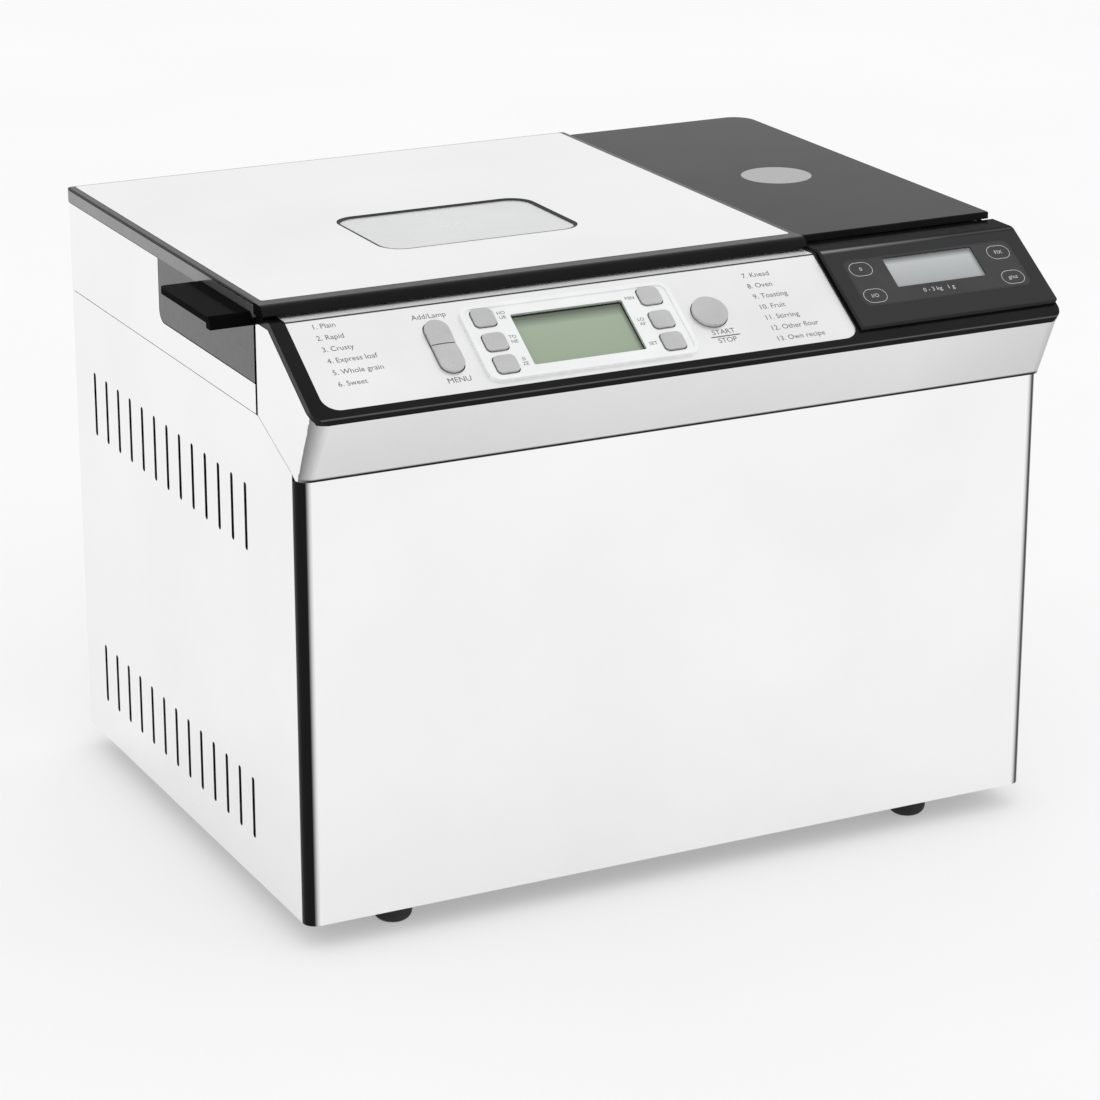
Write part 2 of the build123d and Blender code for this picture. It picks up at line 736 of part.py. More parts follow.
def console_housing():
    """Steel chin and cheeks, open at the back and under the control panel."""
    w = FRAME_UNDER - HOUSING_REST
    ahead = HOUSING_FRONT
    outline = [
        (CHEEK_BACK, SEAM_Z), CHEEK_START, (CHIN_RETURN_Y, CHIN_BOTTOM_Z), (ahead, CHIN_BOTTOM_Z),
        (ahead, slope_height(ahead, w)), fold_point(w), (CHEEK_BACK, FLAT_Z + w),
    ]
    rise = CONSOLE_SHEET
    inner_back = SEAM_Z + 1.2 * rise
    hollow = [
        (FAR, inner_back + CHEEK_RISE * (FAR - CHEEK_BACK)), (CHEEK_BACK, inner_back),
        (CHEEK_START[0] - GAP, CHEEK_START[1] + 1.1 * rise), (CHIN_RETURN_Y + GAP, CHIN_BOTTOM_Z + rise),
        (ahead, CHIN_BOTTOM_Z + rise), (ahead, FAR), (FAR, FAR),
    ]
    outside = chin_shell(0) & side_profile(outline, -1, WIDTH + 1)
    inside = chin_shell(CONSOLE_SHEET) & side_profile(hollow, -1, WIDTH + 1)
    under_lip = block(-1, WIDTH + 1, ahead, FRAME_LIP_Y + LIP_REST, CHIN_TOP_Z, FAR)
    return outside - inside - under_lip


def key_openings(w0, w1, clearance):
    """Openings for all keys through anything between two heights."""
    cuts = []
    for box, corner in small_key_boxes().values():
        cuts.append(slope_slab(grown(box, clearance), w0, w1, corner))
    cuts.append(slope_slab(grown(rocker_box(), clearance), w0, w1, ROCKER_CORNER))
    cuts.append(slope_rod(START_X, START_T, w0, w1, START_RADIUS + clearance))
    return cuts


def display_opening(w0, w1):
    return slope_slab((DISPLAY_LEFT, DISPLAY_RIGHT, DISPLAY_LOW, DISPLAY_HIGH), w0, w1, DISPLAY_CORNER)


def console_frame():
    """Black surround with a rounded lip, a seat for the fascia and board posts."""
    inner_y = FRAME_LIP_Y + FRAME_LIP_THICK
    outline = [
        (FRAME_LIP_Y, FRAME_LIP_Z), (FRAME_LIP_Y, slope_height(FRAME_LIP_Y, FRAME_PROUD)),
        fold_point(FRAME_PROUD), (FRAME_BACK, FLAT_Z + FRAME_PROUD), (FRAME_BACK, FLAT_Z + FRAME_UNDER),
        fold_point(FRAME_UNDER), (inner_y, slope_height(inner_y, FRAME_UNDER)), (inner_y, FRAME_LIP_Z),
    ]
    frame = side_profile(outline, FRAME_SIDE, WIDTH - FRAME_SIDE)
    lip_edge = frame.edges().filter_by(Axis.X).sort_by(Axis.Y)[:2].sort_by(Axis.Z)[-1]
    frame = fillet(lip_edge, FRAME_LIP_ROUND)
    corners = (FRAME_SIDE, WIDTH - FRAME_SIDE, FRAME_LOW, SLOPE_REACH)
    frame &= slope_slab(corners, -MASK_REACH, MASK_REACH, CHIN_TOP_CORNER)
    frame -= fascia_blank(-FASCIA_SHEET, CUT_REACH)
    frame -= key_openings(-CUT_REACH, CUT_REACH, KEY_CLEARANCE + FRAME_KEY_SLACK)
    frame -= display_opening(-CUT_REACH, CUT_REACH)
    return frame + board_posts()


def board_posts():
    """Posts under the frame that carry the control board."""
    return [slope_rod(x, t, BOARD_TOP, FRAME_UNDER, POST_RADIUS) for x in POST_X for t in POST_T]


def fascia_blank(w0, w1):
    """Folded fascia sheet before its openings are cut."""
    sheet = folded_sheet(w0, w1, FASCIA_START, FRAME_BACK - 0.2, FASCIA_LEFT, FASCIA_RIGHT)
    outline = (FASCIA_LEFT, FASCIA_RIGHT, FASCIA_START, FASCIA_START + SLOPE_REACH)
    return sheet & slope_slab(outline, -MASK_REACH, MASK_REACH, FASCIA_CORNER)


def control_fascia():
    """Thin satin metal sheet around the keys, folded over at the top."""
    fascia = fascia_blank(-FASCIA_SHEET, 0)
    fascia -= key_openings(-CUT_REACH, CUT_REACH, KEY_CLEARANCE)
    return fascia - display_opening(-CUT_REACH, CUT_REACH)


def display_bezel():
    """Raised surround of the display and the six small keys."""
    box = (BEZEL_LEFT, BEZEL_RIGHT, BEZEL_LOW, BEZEL_HIGH)
    top = BEZEL_THICK + BEZEL_RIM_RISE
    bezel = slope_slab(box, 0, top, BEZEL_CORNER)
    inner = grown(box, -BEZEL_RIM)
    bezel -= slope_slab(inner, BEZEL_THICK, top + 1, BEZEL_CORNER - BEZEL_RIM)
    bezel -= key_openings(-1, CUT_REACH, KEY_CLEARANCE)
    return bezel - display_opening(-1, CUT_REACH)


def main_display():
    """Liquid crystal display set back behind the bezel."""
    box = grown((DISPLAY_LEFT, DISPLAY_RIGHT, DISPLAY_LOW, DISPLAY_HIGH), -DISPLAY_FIT)
    return slope_slab(box, *DISPLAY_DEPTH, DISPLAY_PANEL_CORNER)


def small_key_boxes():
    """Outline box and corner radius of each small key beside the display."""
    wide, high = SMALL_KEY_SIZE
    boxes = {}
    for column, x in (("left", LEFT_KEYS_X), ("right", RIGHT_KEYS_X)):
        for row, t in KEY_ROWS.items():
            box = (x - wide / 2, x + wide / 2, t - high / 2, t + high / 2)
            boxes[column + "_key_" + row] = (box, SMALL_KEY_CORNER)
    return boxes


def rocker_box():
    return (ROCKER_X - ROCKER_WIDTH / 2, ROCKER_X + ROCKER_WIDTH / 2, ROCKER_LOW, ROCKER_HIGH)


def key_from(cap, flange, x, t, proud=KEY_PROUD):
    """Key with a softened rim, a slightly domed top, a retaining flange and a plunger."""
    rim = cap.faces().sort_by(SLOPE_AXIS)[-1].edges()
    cap = fillet(rim, KEY_EDGE)
    cap &= SLOPE * Pos(x, t, proud - KEY_CROWN_DROP - KEY_CROWN_RADIUS) * Sphere(KEY_CROWN_RADIUS)
    return cap + flange + slope_rod(x, t, PLUNGER_END, KEY_TOP, PLUNGER_RADIUS)


def small_key(box, corner):
    cap = slope_slab(box, KEY_TOP, KEY_PROUD, corner)
    flange = slope_slab(grown(box, KEY_FLANGE), KEY_TOP - KEY_FLANGE_THICK, KEY_TOP, corner)
    return key_from(cap, flange, (box[0] + box[1]) / 2, (box[2] + box[3]) / 2)


def rocker_key(low, high):
    """One half of the two-part rocker, cut from the shared rounded outline."""
    x0, x1, t0, t1 = rocker_box()
    keep = SLOPE * Pos(ROCKER_X, (low + high) / 2, 0) * Box(ROCKER_REACH, high - low, ROCKER_REACH)
    cap = slope_slab((x0, x1, t0, t1), KEY_TOP, KEY_PROUD, ROCKER_CORNER) & keep
    low, high = max(low, t0), min(high, t1)
    wide = (x0 - KEY_FLANGE, x1 + KEY_FLANGE, low + ROCKER_FLANGE_INSET, high - ROCKER_FLANGE_INSET)
    flange = slope_slab(wide, KEY_TOP - KEY_FLANGE_THICK, KEY_TOP, ROCKER_FLANGE_CORNER)
    return key_from(cap, flange, ROCKER_X, (low + high) / 2)


def start_stop_key():
    """Round key with a domed crown."""
    cap = slope_rod(START_X, START_T, KEY_TOP, START_PROUD, START_RADIUS)
    flange = slope_rod(START_X, START_T, KEY_TOP - KEY_FLANGE_THICK, KEY_TOP, START_RADIUS + START_FLANGE)
    return key_from(cap, flange, START_X, START_T, START_PROUD)


def key_centres():
    """Middle of every key along the slope."""
    centres = []
    for box, _ in small_key_boxes().values():
        centres.append(((box[0] + box[1]) / 2, (box[2] + box[3]) / 2))
    centres.append((ROCKER_X, (ROCKER_LOW + ROCKER_SPLIT - ROCKER_HALF_GAP) / 2))
    centres.append((ROCKER_X, (ROCKER_SPLIT + ROCKER_HALF_GAP + ROCKER_HIGH) / 2))
    centres.append((START_X, START_T))
    return centres


def control_board():
    """Circuit board under the slope with one switch below each key."""
    under = BOARD_TOP - BOARD_THICK
    board = slope_slab(BOARD_BOX, under, BOARD_TOP, BOARD_CORNER)
    switch_top = PLUNGER_END - KEY_TRAVEL - SWITCH_GAP
    switch = Box(SWITCH_SIDE, SWITCH_SIDE, switch_top - BOARD_TOP)
    for x, t in key_centres():
        board += SLOPE * Pos(x, t, (BOARD_TOP + switch_top) / 2) * switch
    driver = Box(DRIVER_SIDE, DRIVER_SIDE, DRIVER_THICK)
    return board + SLOPE * Pos(*DRIVER_PLACE, under - DRIVER_THICK / 2) * driver


def scale_console():
    """Raised housing of the scale's controls, rounded over at the top."""
    ridge = slope_point((SCALE_TOP_Z - SLOPE_Z - SCALE_RISE * COS) / SIN, SCALE_RISE)
    outline = [
        slope_point(SCALE_START, FRAME_PROUD), slope_point(SCALE_START, SCALE_RISE), ridge,
        (SCALE_BACK, SCALE_TOP_Z), (SCALE_BACK, FLAT_Z + FRAME_PROUD), fold_point(FRAME_PROUD),
    ]
    body = side_profile(outline, SCALE_LEFT, SCALE_RIGHT)
    long_edges = body.edges().filter_by(Axis.X)
    ridge_edge = long_edges.sort_by(Axis.Z)[-2:].sort_by(Axis.Y)[0]
    body = fillet(ridge_edge, SCALE_RIDGE)
    front_edge = body.edges().filter_by(Axis.X).sort_by(Axis.Y)[:2].sort_by(Axis.Z)[-1]
    body = fillet(front_edge, SCALE_EDGE)
    body -= slope_slab(FILM_BOX, SCALE_RISE - FILM_THICK, SCALE_RISE + 1, FILM_CORNER)
    return body - scale_display_opening()


def scale_display_opening():
    bottom = SCALE_RISE - SCALE_DISPLAY_DEPTH
    return slope_slab(SCALE_DISPLAY_BOX, bottom, SCALE_RISE + 1, SCALE_DISPLAY_CORNER)


def scale_film():
    """Printed touch film with an open window over the display."""
    film = slope_slab(FILM_BOX, SCALE_RISE - FILM_THICK, SCALE_RISE + FILM_RISE, FILM_CORNER)
    return film - scale_display_opening()


def scale_display():
    box = grown(SCALE_DISPLAY_BOX, -SCALE_DISPLAY_FIT)
    bottom, top = SCALE_RISE - SCALE_DISPLAY_DEPTH, SCALE_RISE - SCALE_DISPLAY_SUNK
    return slope_slab(box, bottom, top, SCALE_DISPLAY_CORNER - 0.1)


# ---------------------------------------------------------------- deck and scale
def chamber_opening(z0, z1):
    size = (CHAMBER_SIZE[0] - 2 * CHAMBER_WALL, CHAMBER_SIZE[1] - 2 * CHAMBER_WALL)
    return centred_slab(CHAMBER_X, CHAMBER_Y, size, z0, z1, CHAMBER_CORNER - CHAMBER_WALL)


def top_deck():
    """Moulded top of the body: chamber surround on the left, scale bay on the right."""
    left, right = DECK_SIDE, WIDTH - DECK_SIDE
    plate = block(left, BAY_LEFT + DECK_WALL, DECK_FRONT, DECK_BACK, DECK_TOP - DECK_THICK, DECK_TOP)
    plate -= chamber_opening(DECK_TOP - DECK_THICK - 1, DECK_TOP + 1)
    deck = plate + block(BAY_LEFT, right, DECK_FRONT, DECK_BACK, BAY_FLOOR, BAY_FLOOR + BAY_FLOOR_THICK)
    deck += block(left, left + DECK_WALL, DECK_FRONT, DECK_BACK, DECK_SKIRT, DECK_TOP)
    deck += block(right - DECK_WALL, right, DECK_FRONT, DECK_BACK, DECK_SKIRT, DECK_TOP)
    deck += block(left, right, DECK_FRONT, DECK_FRONT + DECK_WALL, DECK_SKIRT, DECK_TOP)
    deck += block(left, right, DECK_BACK - DECK_WALL, DECK_BACK, DECK_SKIRT, DECK_TOP)
    return deck + block(BAY_LEFT, BAY_LEFT + DECK_WALL, DECK_FRONT, DECK_BACK, BAY_FLOOR, DECK_TOP)


def load_cell():
    """Aluminium weighing beam, fixed at its rear end."""
    z0, z1 = CELL_Z
    y0, y1 = CELL_Y
    left, right = CELL_X - CELL_HALF, CELL_X + CELL_HALF
    beam = block(left, right, y0, y1, z0, z1)
    for offset in (-CELL_HOLE_OFFSET, CELL_HOLE_OFFSET):
        beam -= rod_x(left - 1, right + 1, (y0 + y1) / 2 + offset, (z0 + z1) / 2, CELL_HOLE_RADIUS)
    return beam + block(left, right, y1 - CELL_SPACER, y1, BAY_FLOOR + BAY_FLOOR_THICK, z0)


def platform_carrier():
    """Tray under the glass that passes the load to the beam's free end."""
    z0 = PLATFORM_UNDER - CARRIER_THICK
    tray = slab(*CARRIER_BOX, z0, PLATFORM_UNDER, CARRIER_CORNER)
    y0, y1 = CELL_Y[0], CELL_Y[0] + CARRIER_PAD
    return tray + block(CELL_X - CELL_HALF, CELL_X + CELL_HALF, y0, y1, CELL_Z[1] + CARRIER_PAD_GAP, z0)


def platform_glass():
    """Black glass weighing plate with one large rear corner."""
    plate = block(*PLATFORM_BOX, PLATFORM_UNDER, PLATFORM_TOP)
    rear_right = upright_edges(plate).group_by(Axis.X)[-1].sort_by(Axis.Y)[-1]
    plate = fillet(rear_right, PLATFORM_BACK_CORNER)
    left_edges = upright_edges(plate).group_by(Axis.X)[0]
    plate = fillet(left_edges, PLATFORM_LEFT_CORNER)
    plate = chamfer(plate.faces().sort_by(Axis.Z)[-1].edges(), PLATFORM_EDGE)
    return plate - rod(DISC_X, DISC_Y, PLATFORM_TOP - DISC_DEPTH, PLATFORM_TOP + 1, DISC_RADIUS)


def platform_disc():
    """Steel touch disc let into the glass."""
    return rod(DISC_X, DISC_Y, PLATFORM_TOP - DISC_DEPTH, PLATFORM_TOP + DISC_RISE, DISC_RADIUS)


# ---------------------------------------------------------------- baking chamber
def baking_chamber():
    """Sheet metal oven box with a top flange under the deck."""
    size = CHAMBER_SIZE
    x, y = CHAMBER_X, CHAMBER_Y
    box = centred_slab(x, y, size, CHAMBER_BOTTOM, CHAMBER_TOP, CHAMBER_CORNER)
    wide = (size[0] + 2 * CHAMBER_FLANGE, size[1] + 2 * CHAMBER_FLANGE)
    corner = CHAMBER_CORNER + CHAMBER_FLANGE
    box += centred_slab(x, y, wide, CHAMBER_TOP - CHAMBER_WALL, CHAMBER_TOP, corner)
    box -= chamber_opening(CHAMBER_BOTTOM + CHAMBER_WALL, CHAMBER_TOP + 1)
    box -= rod(x, y, CHAMBER_BOTTOM - 1, CHAMBER_BOTTOM + 2, SHAFT_OPENING)
    rear, left, right = y + size[1] / 2, x - size[0] / 2, x + size[0] / 2
    for side in (-ELEMENT_LEAD, ELEMENT_LEAD):
        box -= rod_y(x + side, rear - 2, rear + 1, ELEMENT_Z, ELEMENT_RADIUS + ELEMENT_SLACK)
    box -= rod_x(left - 1, left + 2, y, PROBE_Z, PROBE_RADIUS + OPENING_SLACK)
    return box - rod_x(right - 2, right + 1, y, LAMP_Z, LAMP_RADIUS + OPENING_SLACK)


def heating_element():
    """Tubular heater that loops round the foot of the chamber and leaves at the back."""
    half_x, half_y = ELEMENT_SIZE[0] / 2, ELEMENT_SIZE[1] / 2
    x, y, z = CHAMBER_X, CHAMBER_Y, ELEMENT_Z
    end_y = y + CHAMBER_SIZE[1] / 2 + ELEMENT_TAIL
    points = [
        (x + ELEMENT_LEAD, end_y, z), (x + ELEMENT_LEAD, y + half_y, z), (x + half_x, y + half_y, z),
        (x + half_x, y - half_y, z), (x - half_x, y - half_y, z), (x - half_x, y + half_y, z),
        (x - ELEMENT_LEAD, y + half_y, z), (x - ELEMENT_LEAD, end_y, z),
    ]
    radii = [ELEMENT_BEND] + [ELEMENT_CORNER] * 4 + [ELEMENT_BEND]
    return tube(points, radii, ELEMENT_RADIUS)


def tube(points, radii, radius):
    """Round bar along straight runs joined by arcs."""
    path = FilletPolyline(*points, radius=radii)
    start = Plane(origin=path @ 0, z_dir=path % 0)
    return sweep(start * Circle(radius), path=path)


def temperature_probe():
    """Sensor rod with a collar on the outside of the chamber wall."""
    wall = CHAMBER_X - CHAMBER_SIZE[0] / 2
    stem = rod_x(wall - PROBE_OUT, wall + PROBE_IN, CHAMBER_Y, PROBE_Z, PROBE_RADIUS)
    stem = fillet(stem.edges().sort_by(Axis.X)[-1], PROBE_TIP)
    thick, radius = PROBE_COLLAR
    return stem + rod_x(wall - thick, wall, CHAMBER_Y, PROBE_Z, radius)


def lamp_lens():
    """Glass cover of the chamber lamp, standing a little into the chamber."""
    wall = CHAMBER_X + CHAMBER_SIZE[0] / 2
    lens = rod_x(wall - LENS_IN, wall, CHAMBER_Y, LAMP_Z, LAMP_RADIUS)
    lens = fillet(lens.edges().sort_by(Axis.X)[0], LENS_EDGE)
    lens += rod_x(wall, wall + LENS_OUT, CHAMBER_Y, LAMP_Z, LAMP_RADIUS + LENS_FLANGE)
    hollow = LAMP_RADIUS - LENS_WALL
    return lens - rod_x(wall - LENS_IN + LENS_WALL, wall + LENS_OUT + 1, CHAMBER_Y, LAMP_Z, hollow)


def pan_clips():
    """Spring clips that grip the pan's foot on the chamber floor."""
    floor = CHAMBER_BOTTOM + CHAMBER_WALL
    inner = PAN_FOOT_RADIUS + CLIP_GAP
    y0, y1 = CHAMBER_Y - CLIP_HALF, CHAMBER_Y + CLIP_HALF
    clips = []
    for side in (-1, 1):
        near, tip, far = (CHAMBER_X + side * r for r in (inner, inner + CLIP_THICK, inner + CLIP_FOOT))
        leaf = block(min(near, tip), max(near, tip), y0, y1, floor, CLIP_TOP)
        clips.append(leaf + block(min(near, far), max(near, far), y0, y1, floor, floor + CLIP_THICK))
    return Compound(children=clips)


# ---------------------------------------------------------------- bread pan
def tapered_solid(bottom_size, top_size, corners, z0, z1):
    """Rounded rectangle that widens evenly from z0 to z1."""
    sections = []
    for size, corner, z in ((bottom_size, corners[0], z0), (top_size, corners[1], z1)):
        outline = RectangleRounded(size[0], size[1], corner)
        sections.append((Pos(CHAMBER_X, CHAMBER_Y, z) * outline).face())
    return loft(sections, ruled=True)


def bread_pan():
    """Loaf tin with a rolled rim, bail ears, a foot ring and a shaft boss."""
    x, y = CHAMBER_X, CHAMBER_Y
    corners = (PAN_BOTTOM_CORNER, PAN_TOP_CORNER)
    pan = tapered_solid(PAN_BOTTOM_SIZE, PAN_TOP_SIZE, corners, PAN_FLOOR, PAN_RIM)
    rim_size = tuple(side + 2 * PAN_RIM_OUT for side in PAN_TOP_SIZE)
    pan += centred_slab(x, y, rim_size, PAN_RIM - PAN_RIM_THICK, PAN_RIM, PAN_TOP_CORNER + PAN_RIM_OUT)
    for side in (-1, 1):
        pan += pan_ear(side)
    inner_bottom = tuple(side - 2 * PAN_WALL for side in PAN_BOTTOM_SIZE)
    inner_top = tuple(side - 2 * PAN_WALL for side in PAN_TOP_SIZE)
    inner_corners = (PAN_BOTTOM_CORNER - PAN_WALL, PAN_TOP_CORNER - PAN_WALL)
    pan -= tapered_solid(inner_bottom, inner_top, inner_corners, PAN_FLOOR + PAN_WALL, PAN_RIM + 0.01)
    foot = rod(x, y, PAN_FOOT_END, PAN_FLOOR, PAN_FOOT_RADIUS)
    pan += foot - rod(x, y, PAN_FOOT_END - 1, PAN_FLOOR, PAN_FOOT_RADIUS - PAN_FOOT_WALL)
    pan += rod(x, y, PAN_BOSS[0], PAN_BOSS[1], PAN_BOSS_RADIUS)
    return pan - rod(x, y, PAN_BOSS[0] - 1, PAN_BOSS[1] + 1, PAN_BORE)


def pan_ear(side):
    """Upright ear on the end of the pan, bored for the bail."""
    inner, outer = EAR_PLATE
    y = CHAMBER_Y
    x0, x1 = sorted((CHAMBER_X + side * inner, CHAMBER_X + side * outer))
    pad0, pad1 = sorted((CHAMBER_X + side * (inner - EAR_PAD_DEPTH), CHAMBER_X + side * outer))
    ear = block(x0, x1, y - EAR_HALF, y + EAR_HALF, EAR_BOTTOM, BAIL_Z)
    ear += rod_x(x0, x1, y, BAIL_Z, EAR_HALF)
    ear += block(pad0, pad1, y - EAR_PAD_HALF, y + EAR_PAD_HALF, *EAR_PAD_Z)
    return ear - rod_x(x0 - 1, x1 + 1, y, BAIL_Z, BAIL_RADIUS + RUNNING_CLEARANCE)


def pan_bail():
    """Wire carrying handle, folded forward over the rim."""
    x, y, z = CHAMBER_X, CHAMBER_Y, BAIL_Z
    front = y - BAIL_REACH
    inner = EAR_PLATE[0] - BAIL_TIP
    points = [
        (x - inner, y, z), (x - BAIL_HALF, y, z), (x - BAIL_HALF, front, z),
        (x + BAIL_HALF, front, z), (x + BAIL_HALF, y, z), (x + inner, y, z),
    ]
    return tube(points, [BAIL_TIP_BEND, BAIL_BEND, BAIL_BEND, BAIL_TIP_BEND], BAIL_RADIUS)


def pan_shaft():
    """Short spindle through the pan with a cross bar underneath."""
    z0, z1 = PAN_SHAFT_Z
    half_x, half_y = CROSS_BAR_SIZE[0] / 2, CROSS_BAR_SIZE[1] / 2
    spindle = rod(CHAMBER_X, CHAMBER_Y, z0, z1, PAN_SHAFT_RADIUS)
    bar_box = (CHAMBER_X - half_x, CHAMBER_X + half_x, CHAMBER_Y - half_y, CHAMBER_Y + half_y)
    return spindle + block(*bar_box, z0, CROSS_BAR_TOP)


def kneading_paddle():
    """Hub with one swept blade that turns just above the pan floor."""
    base = PAN_BOSS[1] + PADDLE_LIFT
    hub = rod(CHAMBER_X, CHAMBER_Y, base, PADDLE_TOP, PADDLE_HUB_RADIUS)
    hub = fillet(hub.edges().sort_by(Axis.Z)[-1], PADDLE_HUB_ROUND)
    face = Pos(CHAMBER_X, 0) * make_face(Polyline(*BLADE_SIDE, close=True))
    blade = extrude(Plane.XZ.offset(-CHAMBER_Y - BLADE_THICK / 2) * face, BLADE_THICK)
    return hub + blade - rod(CHAMBER_X, CHAMBER_Y, base - 1, PAN_SHAFT_Z[1], PAN_SHAFT_RADIUS)


# ---------------------------------------------------------------- drive
def drive_shaft():
    """Main spindle with a two-lug coupler inside the pan's foot ring."""
    x, y = CHAMBER_X, CHAMBER_Y
    near, far = LUG_REACH
    shaft = rod(x, y, DRIVE_SHAFT_BOTTOM, DRIVE_TOP, SHAFT_RADIUS)
    coupler = rod(x, y, DRIVE_TOP - COUPLER_THICK, DRIVE_TOP, COUPLER_RADIUS)
    for side in (-1, 1):
        y0, y1 = sorted((y + side * near, y + side * far))
        coupler += block(x - LUG_HALF, x + LUG_HALF, y0, y1, DRIVE_TOP, LUG_TOP)
    return shaft + coupler


def grooved_pulley(x, y, radius, bore):
    """Flat pulley with fine round-bottomed grooves for a ribbed belt."""
    z0, z1 = PULLEY_Z
    wheel = rod(x, y, z0, z1, radius)
    for i in range(GROOVE_COUNT):
        ring_z = z0 + GROOVE_PITCH * (i + 1)
        wheel -= Pos(x, y, ring_z) * Torus(radius + GROOVE_OFFSET, GROOVE_RADIUS)
    return wheel - rod(x, y, z0 - 1, z1 + 1, bore)


def large_pulley():
    """Driven pulley with a thin web and five lightening holes."""
    x, y = CHAMBER_X, CHAMBER_Y
    z0, z1 = PULLEY_Z
    wheel = grooved_pulley(x, y, PULLEY_RADIUS, SHAFT_RADIUS)
    recess = rod(x, y, z1 - WEB_RECESS, z1 + 1, PULLEY_RADIUS - PULLEY_RIM)
    wheel -= recess - rod(x, y, z0, z1 + 2, PULLEY_HUB)
    for hole in PolarLocations(LIGHTENING_CIRCLE, LIGHTENING_HOLES):
        wheel -= Pos(x, y, 0) * hole * rod(0, 0, z0 - 1, z1 + 1, LIGHTENING_RADIUS)
    return wheel


def small_pulley():
    return grooved_pulley(MOTOR_X, CHAMBER_Y, SMALL_PULLEY_RADIUS, PAN_SHAFT_RADIUS)


def belt_area(extra):
    """Area inside a loop round both pulleys, standing off them by the given amount."""
    big, small = PULLEY_RADIUS + extra, SMALL_PULLEY_RADIUS + extra
    tangent = math.acos((big - small) / (MOTOR_X - CHAMBER_X))
    far, up = math.cos(tangent), math.sin(tangent)
    middle = Polyline(
        (CHAMBER_X + big * far, CHAMBER_Y + big * up), (MOTOR_X + small * far, CHAMBER_Y + small * up),
        (MOTOR_X + small * far, CHAMBER_Y - small * up), (CHAMBER_X + big * far, CHAMBER_Y - big * up),
        close=True,
    )
    area = make_face(middle) + Pos(CHAMBER_X, CHAMBER_Y) * Circle(big)
    return area + Pos(MOTOR_X, CHAMBER_Y) * Circle(small)


def drive_belt():
    """Ribbed belt from the motor pulley to the main pulley."""
    z0, z1 = PULLEY_Z
    loop = belt_area(BELT_GAP + BELT_THICK) - belt_area(BELT_GAP)
    return extrude(Pos(0, 0, z0 + BELT_INSET) * loop, z1 - z0 - 2 * BELT_INSET)


def drive_housing():
    """Cast bearing housing that carries the chamber on four legs."""
    x, y = CHAMBER_X, CHAMBER_Y
    under = CHAMBER_BOTTOM - HOUSING_THICK
    recess = CHAMBER_BOTTOM - HOUSING_RECESS
    table = centred_slab(x, y, HOUSING_TABLE, under, CHAMBER_BOTTOM, HOUSING_CORNER)
    table -= rod(x, y, recess, CHAMBER_BOTTOM + 1, SHAFT_OPENING)
    table += rod(x, y, BEARING_BOTTOM, recess, BEARING_RADIUS)
    table += four_legs(x, y, HOUSING_LEG, HOUSING_LEG_HALF, under)
    return table - rod(x, y, BEARING_BOTTOM - 1, CHAMBER_BOTTOM, SHAFT_RADIUS + RUNNING_CLEARANCE)


def four_legs(x, y, spread, half, top):
    """Square legs from the base tray up to a plate."""
    legs = []
    for leg_x in (x - spread[0], x + spread[0]):
        for leg_y in (y - spread[1], y + spread[1]):
            legs.append(block(leg_x - half, leg_x + half, leg_y - half, leg_y + half, BASE_FLOOR, top))
    return legs


def motor():
    """Induction motor: laminated stack between two end bells."""
    x, y = MOTOR_X, CHAMBER_Y
    z0 = MOTOR_PLATE[1]
    z1 = z0 + MOTOR_BELL_LOW
    z2 = z1 + MOTOR_STACK
    z3 = z2 + MOTOR_BELL_HIGH
    body = centred_slab(x, y, (MOTOR_SIZE, MOTOR_SIZE), z1, z2, MOTOR_CORNER)
    body += rod(x, y, z0, z1, MOTOR_BELL_RADIUS)
    body += rod(x, y, z2, z3, MOTOR_BELL_RADIUS)
    return body - rod(x, y, z0 - 1, z3 + 1, PAN_SHAFT_RADIUS + RUNNING_CLEARANCE)


def motor_bracket():
    """Plate on four legs that holds the motor over the belt."""
    x, y = MOTOR_X, CHAMBER_Y
    z0, z1 = MOTOR_PLATE
    plate = centred_slab(x, y, (MOTOR_PLATE_SIDE, MOTOR_PLATE_SIDE), z0, z1, MOTOR_CORNER)
    plate -= rod(x, y, z0 - 1, z1 + 1, MOTOR_PLATE_BORE)
    return plate + four_legs(x, y, (MOTOR_LEG, MOTOR_LEG), MOTOR_LEG_HALF, z0)


def motor_shaft():
    return rod(MOTOR_X, CHAMBER_Y, MOTOR_SHAFT_BOTTOM, MOTOR_PLATE[1] + MOTOR_SHAFT_RISE, PAN_SHAFT_RADIUS)


def power_board():
    """Supply board on pillars with its transformer and relay."""
    z0, z1 = SUPPLY_Z
    board = block(*SUPPLY_BOX, z0, z1)
    for x in SUPPLY_PILLARS_X:
        for y in SUPPLY_PILLARS_Y:
            board += rod(x, y, BASE_FLOOR, z0, SUPPLY_PILLAR_RADIUS)
    board += block(*TRANSFORMER_BOX, z1, TRANSFORMER_TOP)
    return board + block(*RELAY_BOX, z1, RELAY_TOP)


# ---------------------------------------------------------------- lid
def window_slab(margin, z0, z1):
    x0, x1, y0, y1 = grown(WINDOW_BOX, margin)
    return slab(x0, x1, y0, y1, z0, z1, WINDOW_CORNER + margin)


def lid_top_plate():
    """Polished steel plate with the window opening."""
    plate = slab(*PLATE_BOX, LID_TOP - PLATE_THICK, LID_TOP, PLATE_CORNER)
    return plate - window_slab(0, LID_TOP - PLATE_THICK - 1, LID_TOP + 1)


